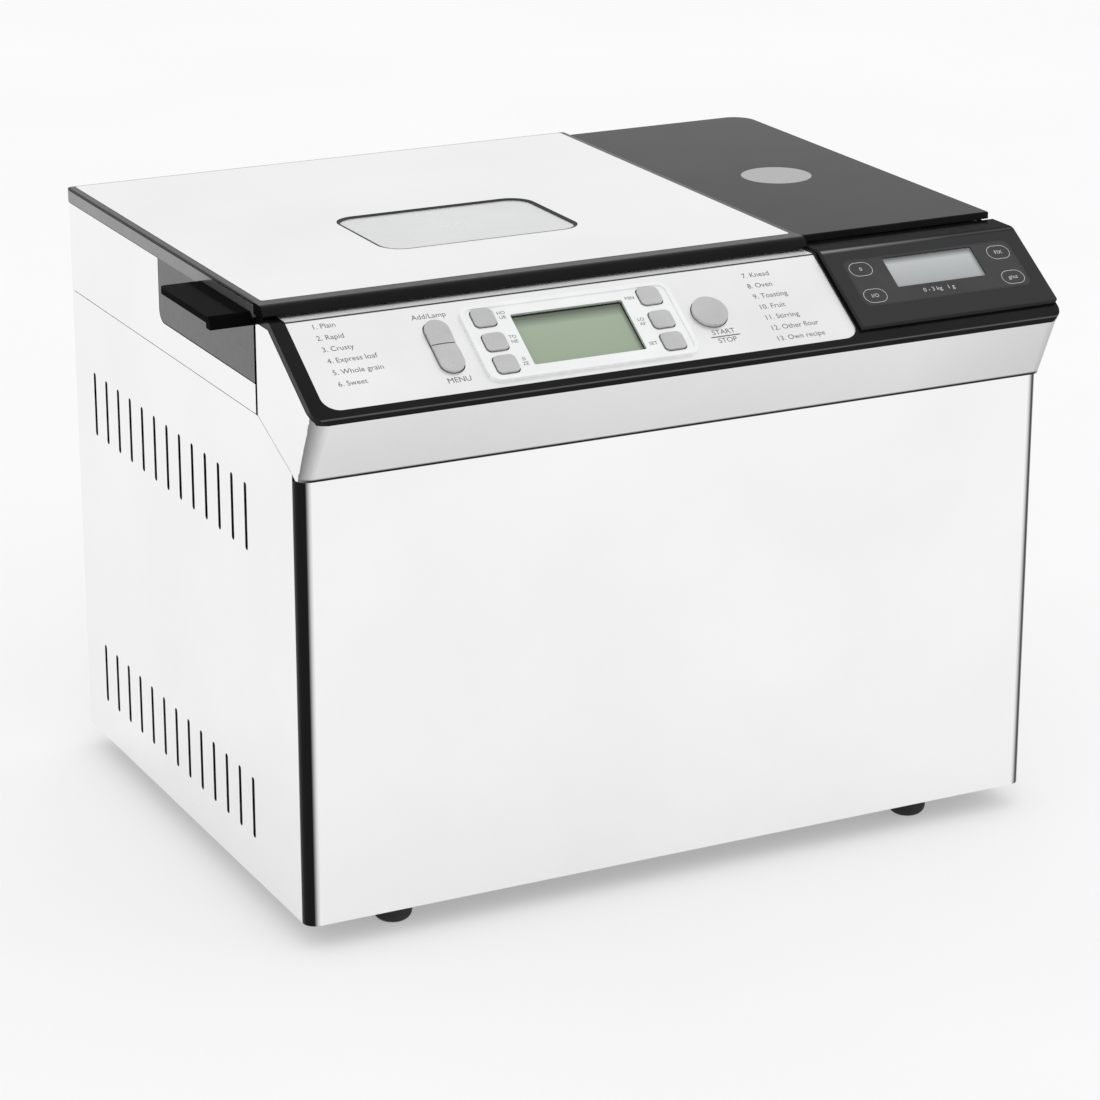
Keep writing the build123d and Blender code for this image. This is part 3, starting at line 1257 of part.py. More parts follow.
def lid_frame():
    """Black upper frame of the lid with a rounded lip over the console."""
    seat = LID_TOP - PLATE_THICK
    cap = slab(0, LID_RIGHT, CAP_FRONT, DEPTH, LID_CAP_BOTTOM, LID_CAP_TOP, CAP_CORNER)
    cap = fillet(cap.faces().sort_by(Axis.Z)[-1].edges(), CAP_EDGE)
    inset = LID_CORE_INSET
    core_box = (inset, LID_RIGHT - inset, SKIRT_FRONT + inset, DEPTH - inset)
    core = block(*core_box, LID_CORE_BOTTOM, LID_CAP_BOTTOM)
    lip = block(0, LID_RIGHT, LID_LIP_FRONT, SKIRT_FRONT - GAP, LID_LIP_BOTTOM, LID_CAP_TOP)
    front_edges = lip.edges().filter_by(Axis.X).group_by(Axis.Y)[0].sort_by(Axis.Z)
    lip = fillet(front_edges[-1], LIP_ROUND)
    lip = fillet(lip.edges().filter_by(Axis.X).sort_by(Axis.Z)[0], LIP_UNDER_ROUND)
    frame = cap + core + lip
    frame -= slab(*PLATE_BOX, seat, LID_TOP + 1, PLATE_CORNER)
    frame -= window_slab(WINDOW_REBATE, WINDOW_SEAT, seat + 1)
    return frame - window_slab(0, LID_CORE_BOTTOM - 1, seat + 1)


def lid_window():
    """Heat-resistant glass pane seated under the plate."""
    return window_slab(WINDOW_REBATE, WINDOW_SEAT, LID_TOP - PLATE_THICK)


def drop_panel():
    """Part of the lid's left wall that fills the band's cut-out and takes the handle."""
    reach = DROP_REACH
    high = SKIRT_TOP - DROP_BOTTOM
    panel = block(0, SKIRT_WALL, SKIRT_FRONT, DROP_BACK, DROP_BOTTOM, DROP_BOTTOM + high)
    outline = RectangleRounded(DROP_BACK + reach, 2 * high, DROP_CORNER)
    middle = Pos((DROP_BACK - reach) / 2, DROP_BOTTOM + high)
    return panel & extrude(Plane.YZ.offset(-1) * middle * outline, SKIRT_WALL + 2)


def lid_skirt():
    """Lower shell of the lid: walls, floor, handle panel and hinge knuckles."""
    wall = SKIRT_WALL
    z0, z1 = SKIRT_FLOOR
    inner = (wall, LID_RIGHT - wall, SKIRT_FRONT + wall, DEPTH - wall)
    shell = slab(0, LID_RIGHT, SKIRT_FRONT, DEPTH, SKIRT_BOTTOM, SKIRT_TOP, SKIRT_CORNER)
    shell -= slab(*inner, SKIRT_BOTTOM - 1, SKIRT_TOP + 1, SKIRT_INNER_CORNER)
    shell += block(*inner, z0, z1)
    shell += drop_panel()
    y0, y1, tongue0, tongue1 = TONGUE_BOX
    shell -= block(-1, wall + 1, y0, y1, tongue0, tongue1)
    shell -= window_slab(0, z0 - 1, z1 + 1)
    return with_knuckles(shell)


def with_knuckles(shell):
    """The lid shell cleared round the hinge and given its bored knuckles."""
    room, half = EAR_OUTER + KNUCKLE_SLACK, KNUCKLE_HALF
    for x in HINGE_X:
        shell -= rod_x(x - room, x + room, HINGE_Y, HINGE_Z, KNUCKLE_RADIUS + KNUCKLE_SLACK)
    for x in HINGE_X:
        shell += rod_x(x - half, x + half, HINGE_Y, HINGE_Z, KNUCKLE_RADIUS)
        web_top = SKIRT_TOP - KNUCKLE_WEB_DROP
        shell += block(x - half, x + half, DEPTH - SKIRT_WALL, DEPTH, HINGE_Z, web_top)
        shell -= rod_x(x - half - 1, x + half + 1, HINGE_Y, HINGE_Z, PIN_RADIUS)
    return shell


def lid_inner_liner():
    """Bright liner facing the chamber."""
    top = SKIRT_FLOOR[0]
    liner = slab(*LINER_BOX, top - LINER_THICK, top, LINER_CORNER)
    return liner - window_slab(0, top - LINER_THICK - 1, top + 1)


def lid_gasket():
    """Silicone ring that closes on the deck round the chamber."""
    top = SKIRT_FLOOR[0]
    outer = grown(LINER_BOX, GASKET_WIDTH)
    ring = slab(*outer, top - GASKET_THICK, top, LINER_CORNER + GASKET_WIDTH)
    return ring - slab(*LINER_BOX, top - GASKET_THICK - 1, top + 1, LINER_CORNER)


def lid_handle():
    """Finger tab on the lid's left side, turned down at the front."""
    tab = block(-HANDLE_OUT, 0, HANDLE_FRONT, HANDLE_BACK, HANDLE_TOP - HANDLE_LIP_DEPTH, HANDLE_TOP)
    inner_front = HANDLE_FRONT + HANDLE_LIP_WIDTH
    under = HANDLE_TOP - HANDLE_THICK
    tab -= block(-HANDLE_OUT - 1, 1, inner_front, HANDLE_BACK + 1, under - HANDLE_UNDERCUT, under)
    top_front = tab.edges().filter_by(Axis.X).group_by(Axis.Z)[-1].sort_by(Axis.Y)[0]
    tab = fillet(top_front, HANDLE_FRONT_ROUND)
    outer = tab.edges().filter_by(Axis.Z).group_by(Axis.X)[0].sort_by(Axis.Y)[-1]
    tab = fillet(outer, HANDLE_BACK_ROUND)
    y0, y1, z0, z1 = TONGUE_BOX
    return tab + block(0, SKIRT_WALL, y0, y1, z0, z1)


def hinge_pins():
    """Two steel pins held in the lid's knuckles."""
    half = EAR_OUTER + PIN_OVERHANG
    pins = [rod_x(x - half, x + half, HINGE_Y, HINGE_Z, PIN_RADIUS) for x in HINGE_X]
    return Compound(children=pins)


def hinge_brackets():
    """Two brackets on the back panel, each with a pair of bored ears."""
    face = PANEL_BACK + BRACKET_GAP
    half, bore_half = BRACKET_HALF, BRACKET_BORE_HALF
    brackets = []
    for x in HINGE_X:
        bracket = block(x - half, x + half, face, face + BRACKET_THICK, *BRACKET_Z)
        for side in (-1, 1):
            x0, x1 = sorted((x + side * EAR_INNER, x + side * EAR_OUTER))
            bracket += rod_x(x0, x1, HINGE_Y, HINGE_Z, KNUCKLE_RADIUS)
            bracket += block(x0, x1, face, face + EAR_WEB, EAR_WEB_BOTTOM, HINGE_Z)
        bore = PIN_RADIUS + RUNNING_CLEARANCE
        bracket -= rod_x(x - bore_half, x + bore_half, HINGE_Y, HINGE_Z, bore)
        brackets.append(bracket - rear_screw_holes())
    return Compound(children=brackets)


# ---------------------------------------------------------------- assembly
def all_pieces():
    """Every piece of the machine by name."""
    pieces = {
        "base_plate": base_plate(),
        "feet": feet(),
        "front_panel": front_panel(),
        "left_side_panel": left_side_panel(),
        "right_side_panel": right_side_panel(),
        "back_panel": back_panel(),
        "left_upper_band": left_upper_band(),
        "right_upper_band": right_upper_band(),
        "case_screws": case_screws(),
        "cord_gland": cord_gland(),
        "top_deck": top_deck(),
        "console_housing": console_housing(),
        "console_frame": console_frame(),
        "control_fascia": control_fascia(),
        "display_bezel": display_bezel(),
        "main_display": main_display(),
        "menu_key": rocker_key(ROCKER_LOW - 1, ROCKER_SPLIT - ROCKER_HALF_GAP),
        "light_key": rocker_key(ROCKER_SPLIT + ROCKER_HALF_GAP, ROCKER_HIGH + 1),
        "start_stop_key": start_stop_key(),
        "control_board": control_board(),
        "scale_console": scale_console(),
        "scale_film": scale_film(),
        "scale_display": scale_display(),
        "load_cell": load_cell(),
        "platform_carrier": platform_carrier(),
        "platform_glass": platform_glass(),
        "platform_disc": platform_disc(),
        "baking_chamber": baking_chamber(),
        "heating_element": heating_element(),
        "temperature_probe": temperature_probe(),
        "lamp_lens": lamp_lens(),
        "pan_clips": pan_clips(),
        "bread_pan": bread_pan(),
        "pan_bail": pan_bail(),
        "pan_shaft": pan_shaft(),
        "kneading_paddle": kneading_paddle(),
        "drive_shaft": drive_shaft(),
        "large_pulley": large_pulley(),
        "small_pulley": small_pulley(),
        "drive_belt": drive_belt(),
        "drive_housing": drive_housing(),
        "motor": motor(),
        "motor_bracket": motor_bracket(),
        "motor_shaft": motor_shaft(),
        "power_board": power_board(),
        "lid_top_plate": lid_top_plate(),
        "lid_frame": lid_frame(),
        "lid_window": lid_window(),
        "lid_skirt": lid_skirt(),
        "lid_inner_liner": lid_inner_liner(),
        "lid_gasket": lid_gasket(),
        "lid_handle": lid_handle(),
        "hinge_pins": hinge_pins(),
        "hinge_brackets": hinge_brackets(),
    }
    for name, (box, corner) in small_key_boxes().items():
        pieces[name] = small_key(box, corner)
    return pieces


def main():
    os.makedirs("parts", exist_ok=True)
    placing = Pos(-X_MIDDLE, -Y_MIDDLE, FOOT_HEIGHT)
    for name, shape in all_pieces().items():
        export_step(placing * shape, "parts/" + name + ".step")


main()
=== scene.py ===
import bmesh
import bpy
import json
import math
from mathutils import Matrix, Vector


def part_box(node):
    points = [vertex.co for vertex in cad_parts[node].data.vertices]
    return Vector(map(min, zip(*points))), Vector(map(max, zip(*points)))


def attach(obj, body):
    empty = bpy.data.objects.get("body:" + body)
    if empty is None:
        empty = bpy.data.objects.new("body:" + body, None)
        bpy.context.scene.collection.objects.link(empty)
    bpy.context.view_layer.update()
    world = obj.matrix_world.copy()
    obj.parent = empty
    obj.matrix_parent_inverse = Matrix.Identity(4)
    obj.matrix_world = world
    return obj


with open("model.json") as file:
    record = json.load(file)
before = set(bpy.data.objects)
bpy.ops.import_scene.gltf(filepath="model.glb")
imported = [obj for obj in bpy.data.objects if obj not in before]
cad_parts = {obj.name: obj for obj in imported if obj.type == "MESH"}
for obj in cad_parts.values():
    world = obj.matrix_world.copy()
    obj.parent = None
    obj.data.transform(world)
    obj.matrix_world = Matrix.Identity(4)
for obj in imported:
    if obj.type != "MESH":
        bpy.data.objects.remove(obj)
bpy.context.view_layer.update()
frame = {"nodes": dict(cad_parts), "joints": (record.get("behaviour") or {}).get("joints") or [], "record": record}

# Local millimetres, as in the CAD source: X from the left side panel, Y from the front panel,
# Z from the casing's lower edge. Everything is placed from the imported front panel's corner.
MM = 0.001
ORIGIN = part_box("front_panel")[0]


def place(x, y, z):
    """Point in the row frame from local millimetres."""
    return ORIGIN + Vector((x, y, z)) * MM


def local(point):
    """Local millimetres from a point in the row frame."""
    return (point - ORIGIN) / MM


def middle(part):
    """Middle of a CAD part's box, in local millimetres."""
    low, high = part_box(part)
    return local((low + high) / 2)


WIDTH = local(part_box("front_panel")[1]).x
CHIN_LOW = local(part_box("console_housing")[0]).z
SCALE_X = local(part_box("scale_console")[0]).x


# ---------------------------------------------------------------- slope of the console
def joint_axis(name):
    """Direction of a joint in the row frame."""
    for joint in frame["joints"]:
        if joint["name"] == name:
            return Vector(joint["axis"])
    raise KeyError(name)


# The slope starts at its lower edge (SLOPE_Y, SLOPE_Z) and ends where the sheet folds flat (FOLD_Y)
SLOPE_OUT = -joint_axis("start_stop_key_press").normalized()
SLOPE_UP = SLOPE_OUT.cross(Vector((1, 0, 0)))
SLOPE_Y = -17.0
SLOPE_Z = 242.5
FOLD_Y = 29.6


def on_slope(x, t, w):
    """Point in the row frame, t mm up the console's slope and w mm out of it."""
    return place(x, SLOPE_Y, SLOPE_Z) + (SLOPE_UP * t + SLOPE_OUT * w) * MM


SLOPE_TURN = Matrix((Vector((1, 0, 0)), SLOPE_UP, SLOPE_OUT)).transposed().to_4x4()


# ---------------------------------------------------------------- material helpers
class Shader:
    """Node tree of one material, with short calls for the nodes used here."""

    def __init__(self, name):
        self.material = bpy.data.materials.new(name)
        self.material.use_nodes = True
        self.tree = self.material.node_tree
        self.surface = self.tree.nodes["Principled BSDF"]
        self.coords = self.add("ShaderNodeTexCoord").outputs["Object"]

    def add(self, kind, inputs=None, **settings):
        """New node, with its inputs fed and its settings made."""
        made = self.tree.nodes.new(kind)
        for key, value in settings.items():
            setattr(made, key, value)
        for key, value in (inputs or {}).items():
            self.feed(made.inputs[key], value)
        return made

    def feed(self, socket, value):
        """Links another node's output to a socket, or sets the socket to a plain value."""
        if isinstance(value, bpy.types.NodeSocket):
            self.tree.links.new(value, socket)
        elif isinstance(value, tuple) and len(value) == 3 and socket.type == "RGBA":
            socket.default_value = (*value, 1.0)
        else:
            socket.default_value = value

    def set(self, **values):
        """Sets sockets of the surface; underscores in a name stand for spaces."""
        for key, value in values.items():
            self.feed(self.surface.inputs[key.replace("_", " ")], value)

    def stretched(self, scale):
        """Object coordinates scaled unevenly, for brushed and drawn finishes."""
        return self.add("ShaderNodeMapping", {"Vector": self.coords, "Scale": scale}).outputs["Vector"]

    def noise(self, scale, detail=3.0, vector=None):
        inputs = {"Vector": vector or self.coords, "Scale": scale, "Detail": detail}
        return self.add("ShaderNodeTexNoise", inputs).outputs["Fac"]

    def cells(self, scale):
        return self.add("ShaderNodeTexVoronoi", {"Vector": self.coords, "Scale": scale})

    def between(self, factor, low, high, start=0.3, end=0.7):
        """Value or colour that runs from low to high as the factor runs from start to end."""
        if isinstance(low, tuple):
            ramp = self.add("ShaderNodeValToRGB", {"Fac": factor})
            for stop, place_at, colour in zip(ramp.color_ramp.elements, (start, end), (low, high)):
                stop.position = place_at
                stop.color = (*colour, 1.0)
            return ramp.outputs["Color"]
        inputs = {"Value": factor, "From Min": start, "From Max": end, "To Min": low, "To Max": high}
        return self.add("ShaderNodeMapRange", inputs).outputs["Result"]

    def axis(self, name, vector=None):
        """One component of a vector; of the object coordinates unless told otherwise."""
        return self.add("ShaderNodeSeparateXYZ", {"Vector": vector or self.coords}).outputs[name]

    def facing(self, name):
        """One component of the surface's direction."""
        return self.axis(name, self.add("ShaderNodeNewGeometry").outputs["Normal"])

    def along(self, name, span, low, high):
        """Value that runs from low to high over a span of local millimetres on one axis."""
        start, end = (ORIGIN["XYZ".index(name)] + at * MM for at in span)
        return self.between(self.axis(name), low, high, start, end)

    def hump(self, value, rise, fall, top=1.0):
        """Value that climbs from 0 to top over the span rise and drops to 0 over the span fall."""
        climb = self.between(value, 0.0, top, *rise)
        return self.math("MULTIPLY", climb, self.between(value, 1.0, 0.0, *fall))

    def math(self, operation, first, second=0.0):
        made = self.add("ShaderNodeMath", operation=operation)
        self.feed(made.inputs[0], first)
        self.feed(made.inputs[1], second)
        return made.outputs["Value"]

    def mix(self, factor, first, second):
        inputs = {"Fac": factor, "Color1": first, "Color2": second}
        return self.add("ShaderNodeMixRGB", inputs).outputs["Color"]

    def tint(self, factor, colour):
        """Mixes a colour over the base colour that the material already has."""
        old = self.surface.inputs["Base Color"].links[0].from_socket
        self.set(Base_Color=self.mix(factor, old, colour))

    def bump(self, height, distance, strength):
        """Relief of a height, with its depth in metres."""
        inputs = {"Height": height, "Distance": distance, "Strength": strength}
        self.set(Normal=self.add("ShaderNodeBump", inputs).outputs["Normal"])


def shade(colour, factor):
    """Darker version of a colour."""
    return tuple(channel * factor for channel in colour)


def grey(value, blue=0.0):
    """Neutral grey, or one with a little more blue."""
    return (value, value, value + blue)


WHITE = grey(1.0)
JET = (grey(0.003), grey(0.006))


# ---------------------------------------------------------------- metals
def polished_steel(name, low=(0.90, 0.90, 0.905), high=(0.945, 0.945, 0.945)):
    """Mirror-polished sheet with faint haze, fine wipe marks and a slight roll."""
    s = Shader(name)
    haze = s.noise(9.0, 5.0)
    wipes = s.noise(60.0, 4.0, s.stretched((1.0, 1.0, 14.0)))
    s.set(Base_Color=s.between(haze, low, high), Metallic=1.0, Roughness=s.between(wipes, 0.06, 0.13))
    s.bump(s.noise(14.0, 2.0), 0.00006, 0.5)
    return s


CORNER_REFLECTION_TURN = (0.04, 0.42)


def front_steel():
    """Polished sheet with a painted dark reflection on its upright corner radii."""
    s = polished_steel("polished_front")
    turned = s.math("ABSOLUTE", s.facing("X"))
    # painted reflection: the upright corner radii are darkened to near black
    s.tint(s.between(turned, 0.0, 1.0, *CORNER_REFLECTION_TURN), grey(0.012, 0.001))
    return s


# Chin: spans of height and width in local millimetres, and spans of the surface's direction, that place its
# painted reflections and shadow
CHIN_REFLECTION_RISE = (CHIN_LOW + 0.1, CHIN_LOW + 28.1)
CHIN_HEM_SHADOW = (CHIN_LOW + 1.0, CHIN_LOW + 1.8)
CHIN_REFLECTION_END = (WIDTH - 80.0, WIDTH - 8.0)
CHIN_LEAN = (-0.40, -0.15)
CHIN_SWELL = (0.02, 0.93)
CHIN_CREASE = (0.930, 0.945)


def chin_steel():
    """Polished sheet of the console, with painted dark reflections where it leans over the front and rounds its
    corners, and a painted shadow line along its hem.
    """
    s = polished_steel("polished_chin")
    s.set(Roughness=s.between(s.noise(50.0, 4.0), 0.10, 0.16))
    lean = s.between(s.facing("Z"), 1.0, 0.0, *CHIN_LEAN)
    # painted reflection: the leaning face is darkened, more so towards the bottom
    s.tint(s.math("MULTIPLY", lean, s.along("Z", CHIN_REFLECTION_RISE, 0.38, 0.27)), grey(0.42, 0.01))
    # painted reflection: the leaning face darkens towards the right end
    s.tint(s.math("MULTIPLY", lean, s.along("X", CHIN_REFLECTION_END, 0.0, 0.35)), grey(0.42, 0.01))
    # painted reflection: the rounded corners are darkened up to the crease
    turned = s.math("ABSOLUTE", s.facing("X"))
    s.tint(s.hump(turned, CHIN_SWELL, CHIN_CREASE, 0.92), grey(0.15, 0.005))
    # painted shadow: a dark line along the chin's lower hem, where it overhangs the front panel
    s.tint(s.math("MULTIPLY", lean, s.along("Z", CHIN_HEM_SHADOW, 1.0, 0.0)), grey(0.02))
    return s


FLAT_EDGE = (FOLD_Y, FOLD_Y + 0.2)
FOLD_REFLECTION_HALF = (0.4 * MM, 0.7 * MM)


def fascia_metal():
    """Satin sheet whose flat strip behind the fold line is made nearly non-metallic so it reads pale, a stand-in
    for its bright reflection, with a painted dark reflection along the fold.
    """
    s = satin_metal("satin_fascia", grey(0.83, 0.005), grey(0.90, 0.005), 0.34)
    # stand-in for a bright reflection: the flat strip turns nearly non-metallic so its pale colour shows
    s.set(Metallic=s.along("Y", FLAT_EDGE, 1.0, 0.1))
    # painted reflection: a dark line along the fold
    away = s.math("ABSOLUTE", s.math("SUBTRACT", s.axis("Y"), place(0, FOLD_Y, 0).y))
    s.tint(s.between(away, 1.0, 0.0, *FOLD_REFLECTION_HALF), grey(0.05))
    return s


def satin_metal(name, low, high, rough):
    """Bead-blasted sheet: a fine even grain with a little cloudiness."""
    s = Shader(name)
    cloud = s.noise(18.0, 3.0)
    grain = s.noise(2600.0, 2.0)
    s.set(Base_Color=s.between(cloud, low, high), Metallic=1.0)
    s.set(Roughness=s.between(grain, rough - 0.06, rough + 0.06))
    s.bump(grain, 0.00002, 0.35)
    return s


def brushed(name, low, high, rough, stretch):
    """Metal with fine lines along one direction."""
    s = Shader(name)
    lines = s.noise(220.0, 4.0, s.stretched(stretch))
    s.set(Base_Color=s.between(lines, low, high), Metallic=1.0)
    s.set(Roughness=s.between(lines, rough - 0.07, rough + 0.08))
    s.bump(lines, 0.00003, 0.3)
    return s


def turned_disc():
    """Disc with concentric brushing."""
    s = Shader("turned_disc")
    centre = tuple(place(*middle("platform_disc")))
    centred = s.add("ShaderNodeVectorMath", {0: s.coords, 1: centre}, operation="SUBTRACT")
    distance = s.add("ShaderNodeVectorMath", {0: centred.outputs["Vector"]}, operation="LENGTH")
    rings = s.add("ShaderNodeCombineXYZ", {"X": distance.outputs["Value"]}).outputs["Vector"]
    lines = s.noise(2400.0, 3.0, rings)
    s.set(Base_Color=s.between(lines, grey(0.30, 0.01), grey(0.47, 0.01)), Metallic=1.0)
    s.set(Roughness=s.between(lines, 0.22, 0.38))
    s.bump(lines, 0.00004, 0.5)
    return s


def cast_metal(name, low, high):
    """Die-cast skin with a fine pebbled surface."""
    s = Shader(name)
    grain = s.noise(900.0, 4.0)
    s.set(Base_Color=s.between(s.noise(25.0), low, high), Metallic=1.0)
    s.set(Roughness=s.between(grain, 0.38, 0.6))
    s.bump(grain, 0.0001, 0.4)
    return s


def chamber_steel():
    """Aluminised sheet with a soft spangle and a little baked tint."""
    s = Shader("chamber_steel")
    spangle = s.cells(160.0)
    tint = s.noise(12.0, 4.0)
    colour = s.between(tint, (0.60, 0.60, 0.59), (0.74, 0.73, 0.71))
    flake = s.axis("X", spangle.outputs["Color"])
    colour = s.mix(s.math("MULTIPLY", flake, 0.3), colour, (0.84, 0.84, 0.83))
    s.set(Base_Color=colour, Metallic=1.0)
    s.set(Roughness=s.between(spangle.outputs["Distance"], 0.24, 0.42, 0.0, 0.6))
    s.bump(s.noise(500.0, 3.0), 0.00005, 0.3)
    return s


def heater_steel():
    """Sheathed heater tube with heat tints."""
    s = Shader("heater_steel")
    tint = s.noise(35.0, 4.0)
    s.set(Base_Color=s.between(tint, (0.10, 0.09, 0.085), (0.26, 0.22, 0.20)), Metallic=1.0)
    s.set(Roughness=s.between(s.noise(700.0), 0.4, 0.62))
    s.bump(s.noise(900.0, 3.0), 0.00006, 0.4)
    return s


def motor_steel():
    """Laminated stack: thin horizontal sheets with varnish between them."""
    s = Shader("motor_steel")
    layers = s.noise(1300.0, 2.0, s.stretched((0.01, 0.01, 1.0)))
    s.set(Base_Color=s.between(layers, grey(0.10, 0.005), grey(0.30, 0.01)), Metallic=0.9)
    s.set(Roughness=s.between(layers, 0.35, 0.6))
    s.bump(layers, 0.0002, 0.6)
    return s


# ---------------------------------------------------------------- plastics, glass and rubber
def gloss_plastic(name, low, high, rough=0.08, coat=0.0, gloss=0.5):
    """Injection-moulded gloss: faint flow clouds, dust-fine haze and a clear skin."""
    s = Shader(name)
    s.set(Base_Color=s.between(s.noise(30.0, 4.0), low, high))
    s.set(Roughness=s.between(s.noise(240.0, 4.0), rough * 0.7, rough * 1.8))
    s.set(Coat_Weight=coat, Coat_Roughness=0.03, Specular_IOR_Level=gloss)
    s.bump(s.noise(320.0, 2.0), 0.00003, 0.25)
    return s


SKIRT_SEAM = (272.0, 272.3)


def skirt_gloss():
    """Lid shell of black gloss: a grey rail above the seam, painted as a reflection, and a deep black handle panel
    below it.
    """
    # painted reflection: the rail above the seam is grey rather than black
    s = gloss_plastic("skirt_gloss", grey(0.09, 0.002), grey(0.12, 0.002), 0.16, 0.5)
    below = s.along("Z", SKIRT_SEAM, 1.0, 0.0)
    s.tint(below, grey(0.004))
    s.set(Coat_Weight=s.between(below, 0.5, 0.3, 0.0, 1.0))
    return s


EDGE_HIGHLIGHT_TILT = ((0.25, 0.55), (0.60, 0.80))


def frame_gloss():
    """Deep black surround with a painted paler highlight along its rounded lip and outer rim."""
    s = gloss_plastic("frame_gloss", *JET, 0.12, 0.0, 0.12)
    # painted highlight along the rounded lip and outer rim
    s.tint(s.hump(s.facing("Z"), *EDGE_HIGHLIGHT_TILT), grey(0.10))
    return s


# Scale console: spans of how level the surface is, and a span of width in local millimetres, that place its
# painted reflection and highlight
SCALE_FACE = (0.84, 0.90)
SCALE_RIDGE = ((0.86, 0.93), (0.95, 0.999))
RIDGE_HIGHLIGHT_FADE = (SCALE_X + 2.0, SCALE_X + 71.0)


def scale_gloss():
    """Black gloss housing with a painted highlight along its rounded ridge and a fainter painted reflection down
    its face.
    """
    s = gloss_plastic("scale_gloss", *JET, 0.12, 0.0, 0.004)
    level = s.facing("Z")
    # painted reflection: the steeper face is a little paler than the top
    s.tint(s.between(level, 1.0, 0.0, *SCALE_FACE), grey(0.045, 0.001))
    # painted highlight along the rounded ridge, strongest at the left end
    ridge = s.math("MULTIPLY", s.hump(level, *SCALE_RIDGE), s.along("X", RIDGE_HIGHLIGHT_FADE, 1.0, 0.25))
    s.tint(ridge, grey(0.26))
    return s


def moulded_plastic(name, low, high, rough=0.5, grain_scale=1500.0, depth=0.00008, gloss=0.4):
    """Matt moulding with a spark-eroded texture."""
    s = Shader(name)
    grain = s.noise(grain_scale, 3.0)
    s.set(Base_Color=s.between(s.noise(40.0, 3.0), low, high))
    s.set(Roughness=s.between(grain, rough - 0.08, rough + 0.12), Specular_IOR_Level=gloss)
    s.bump(grain, depth, 0.4)
    return s


def soft_paint(name, low, high, rough):
    """Sprayed metallic paint with tiny flakes."""
    s = Shader(name)
    flakes = s.axis("X", s.cells(3200.0).outputs["Color"])
    base = s.between(s.noise(60.0, 3.0), low, high)
    s.set(Base_Color=s.mix(s.math("MULTIPLY", flakes, 0.05), base, shade(low, 0.6)), Metallic=0.55)
    s.set(Roughness=s.between(s.noise(1800.0, 2.0), rough - 0.03, rough + 0.05))
    s.set(Coat_Weight=0.35, Coat_Roughness=0.12)
    s.bump(s.noise(2200.0, 2.0), 0.000008, 0.2)
    return s


def rubber(name, low, high):
    """Matt rubber with a dusty, slightly uneven skin."""
    s = Shader(name)
    dust = s.noise(90.0, 5.0)
    s.set(Base_Color=s.between(dust, low, high), Roughness=s.between(dust, 0.6, 0.85))
    s.set(Specular_IOR_Level=0.35)
    s.bump(s.noise(1200.0, 3.0), 0.0001, 0.4)
    return s


def black_glass():
    """Back-painted glass plate."""
    s = Shader("black_glass")
    s.set(Base_Color=s.between(s.noise(20.0, 3.0), grey(0.011, 0.001), grey(0.019, 0.002)))
    s.set(Roughness=s.between(s.noise(50.0, 5.0), 0.05, 0.14), Specular_IOR_Level=0.03)
    s.bump(s.noise(10.0, 2.0), 0.00003, 0.3)
    return s


LCD_PIXELS = 3000.0
LCD_HEAD = (0.80, 0.95)
LCD_SIDE = (2.4, 0.6)


def display_glass(name, low, high, part):
    """Liquid crystal panel: soft tilt in tone, shaded under its upper and right edges."""
    s = Shader(name)
    bottom, top = (local(corner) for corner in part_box(part))
    tilt = s.along("Z", (bottom.z, top.z), 0.0, 1.0)
    base = s.between(tilt, low, high, 0.0, 1.0)
    grid = s.add("ShaderNodeTexChecker", {"Vector": s.coords, "Scale": LCD_PIXELS})
    base = s.mix(s.math("MULTIPLY", grid.outputs["Fac"], 0.05), base, shade(low, 0.7))
    base = s.mix(s.between(tilt, 0.0, 1.0, *LCD_HEAD), base, shade(low, 0.4))
    side = s.along("X", [top.x - inset for inset in LCD_SIDE], 0.0, 0.8)
    base = s.mix(side, base, shade(low, 0.45))
    s.set(Base_Color=base, Roughness=s.between(s.noise(400.0), 0.12, 0.24))
    s.set(Coat_Weight=0.5, Coat_Roughness=0.05)
    return s


def clear_glass():
    """Heat-resistant pane with a light haze."""
    s = Shader("clear_glass")
    haze = s.noise(25.0, 4.0)
    s.set(Base_Color=s.between(haze, (0.74, 0.75, 0.75), (0.84, 0.85, 0.85)))
    s.set(Roughness=s.between(haze, 0.12, 0.3), IOR=1.47, Transmission_Weight=0.2)
    s.set(Coat_Weight=0.3, Coat_Roughness=0.04)
    return s


def pan_coating():
    """Speckled non-stick coating."""
    s = Shader("pan_coating")
    speck = s.cells(900.0).outputs["Distance"]
    base = s.between(s.noise(20.0), grey(0.045, 0.003), grey(0.075, 0.004))
    s.set(Base_Color=s.mix(s.between(speck, 0.5, 0.0, 0.02, 0.12), base, grey(0.30, 0.01)))
    s.set(Roughness=s.between(s.noise(600.0), 0.3, 0.5))
    s.bump(s.noise(900.0, 3.0), 0.00008, 0.35)
    return s


def circuit_green():
    """Solder mask over fine copper tracks."""
    s = Shader("board_green")
    tracks = s.add("ShaderNodeTexBrick", {"Vector": s.coords, "Scale": 260.0, "Mortar Size": 0.012})
    s.set(Base_Color=s.mix(tracks.outputs["Fac"], (0.012, 0.085, 0.035), (0.05, 0.20, 0.08)))
    s.set(Roughness=s.between(s.noise(500.0), 0.25, 0.4))
    s.bump(tracks.outputs["Fac"], 0.00005, 0.5)
    return s


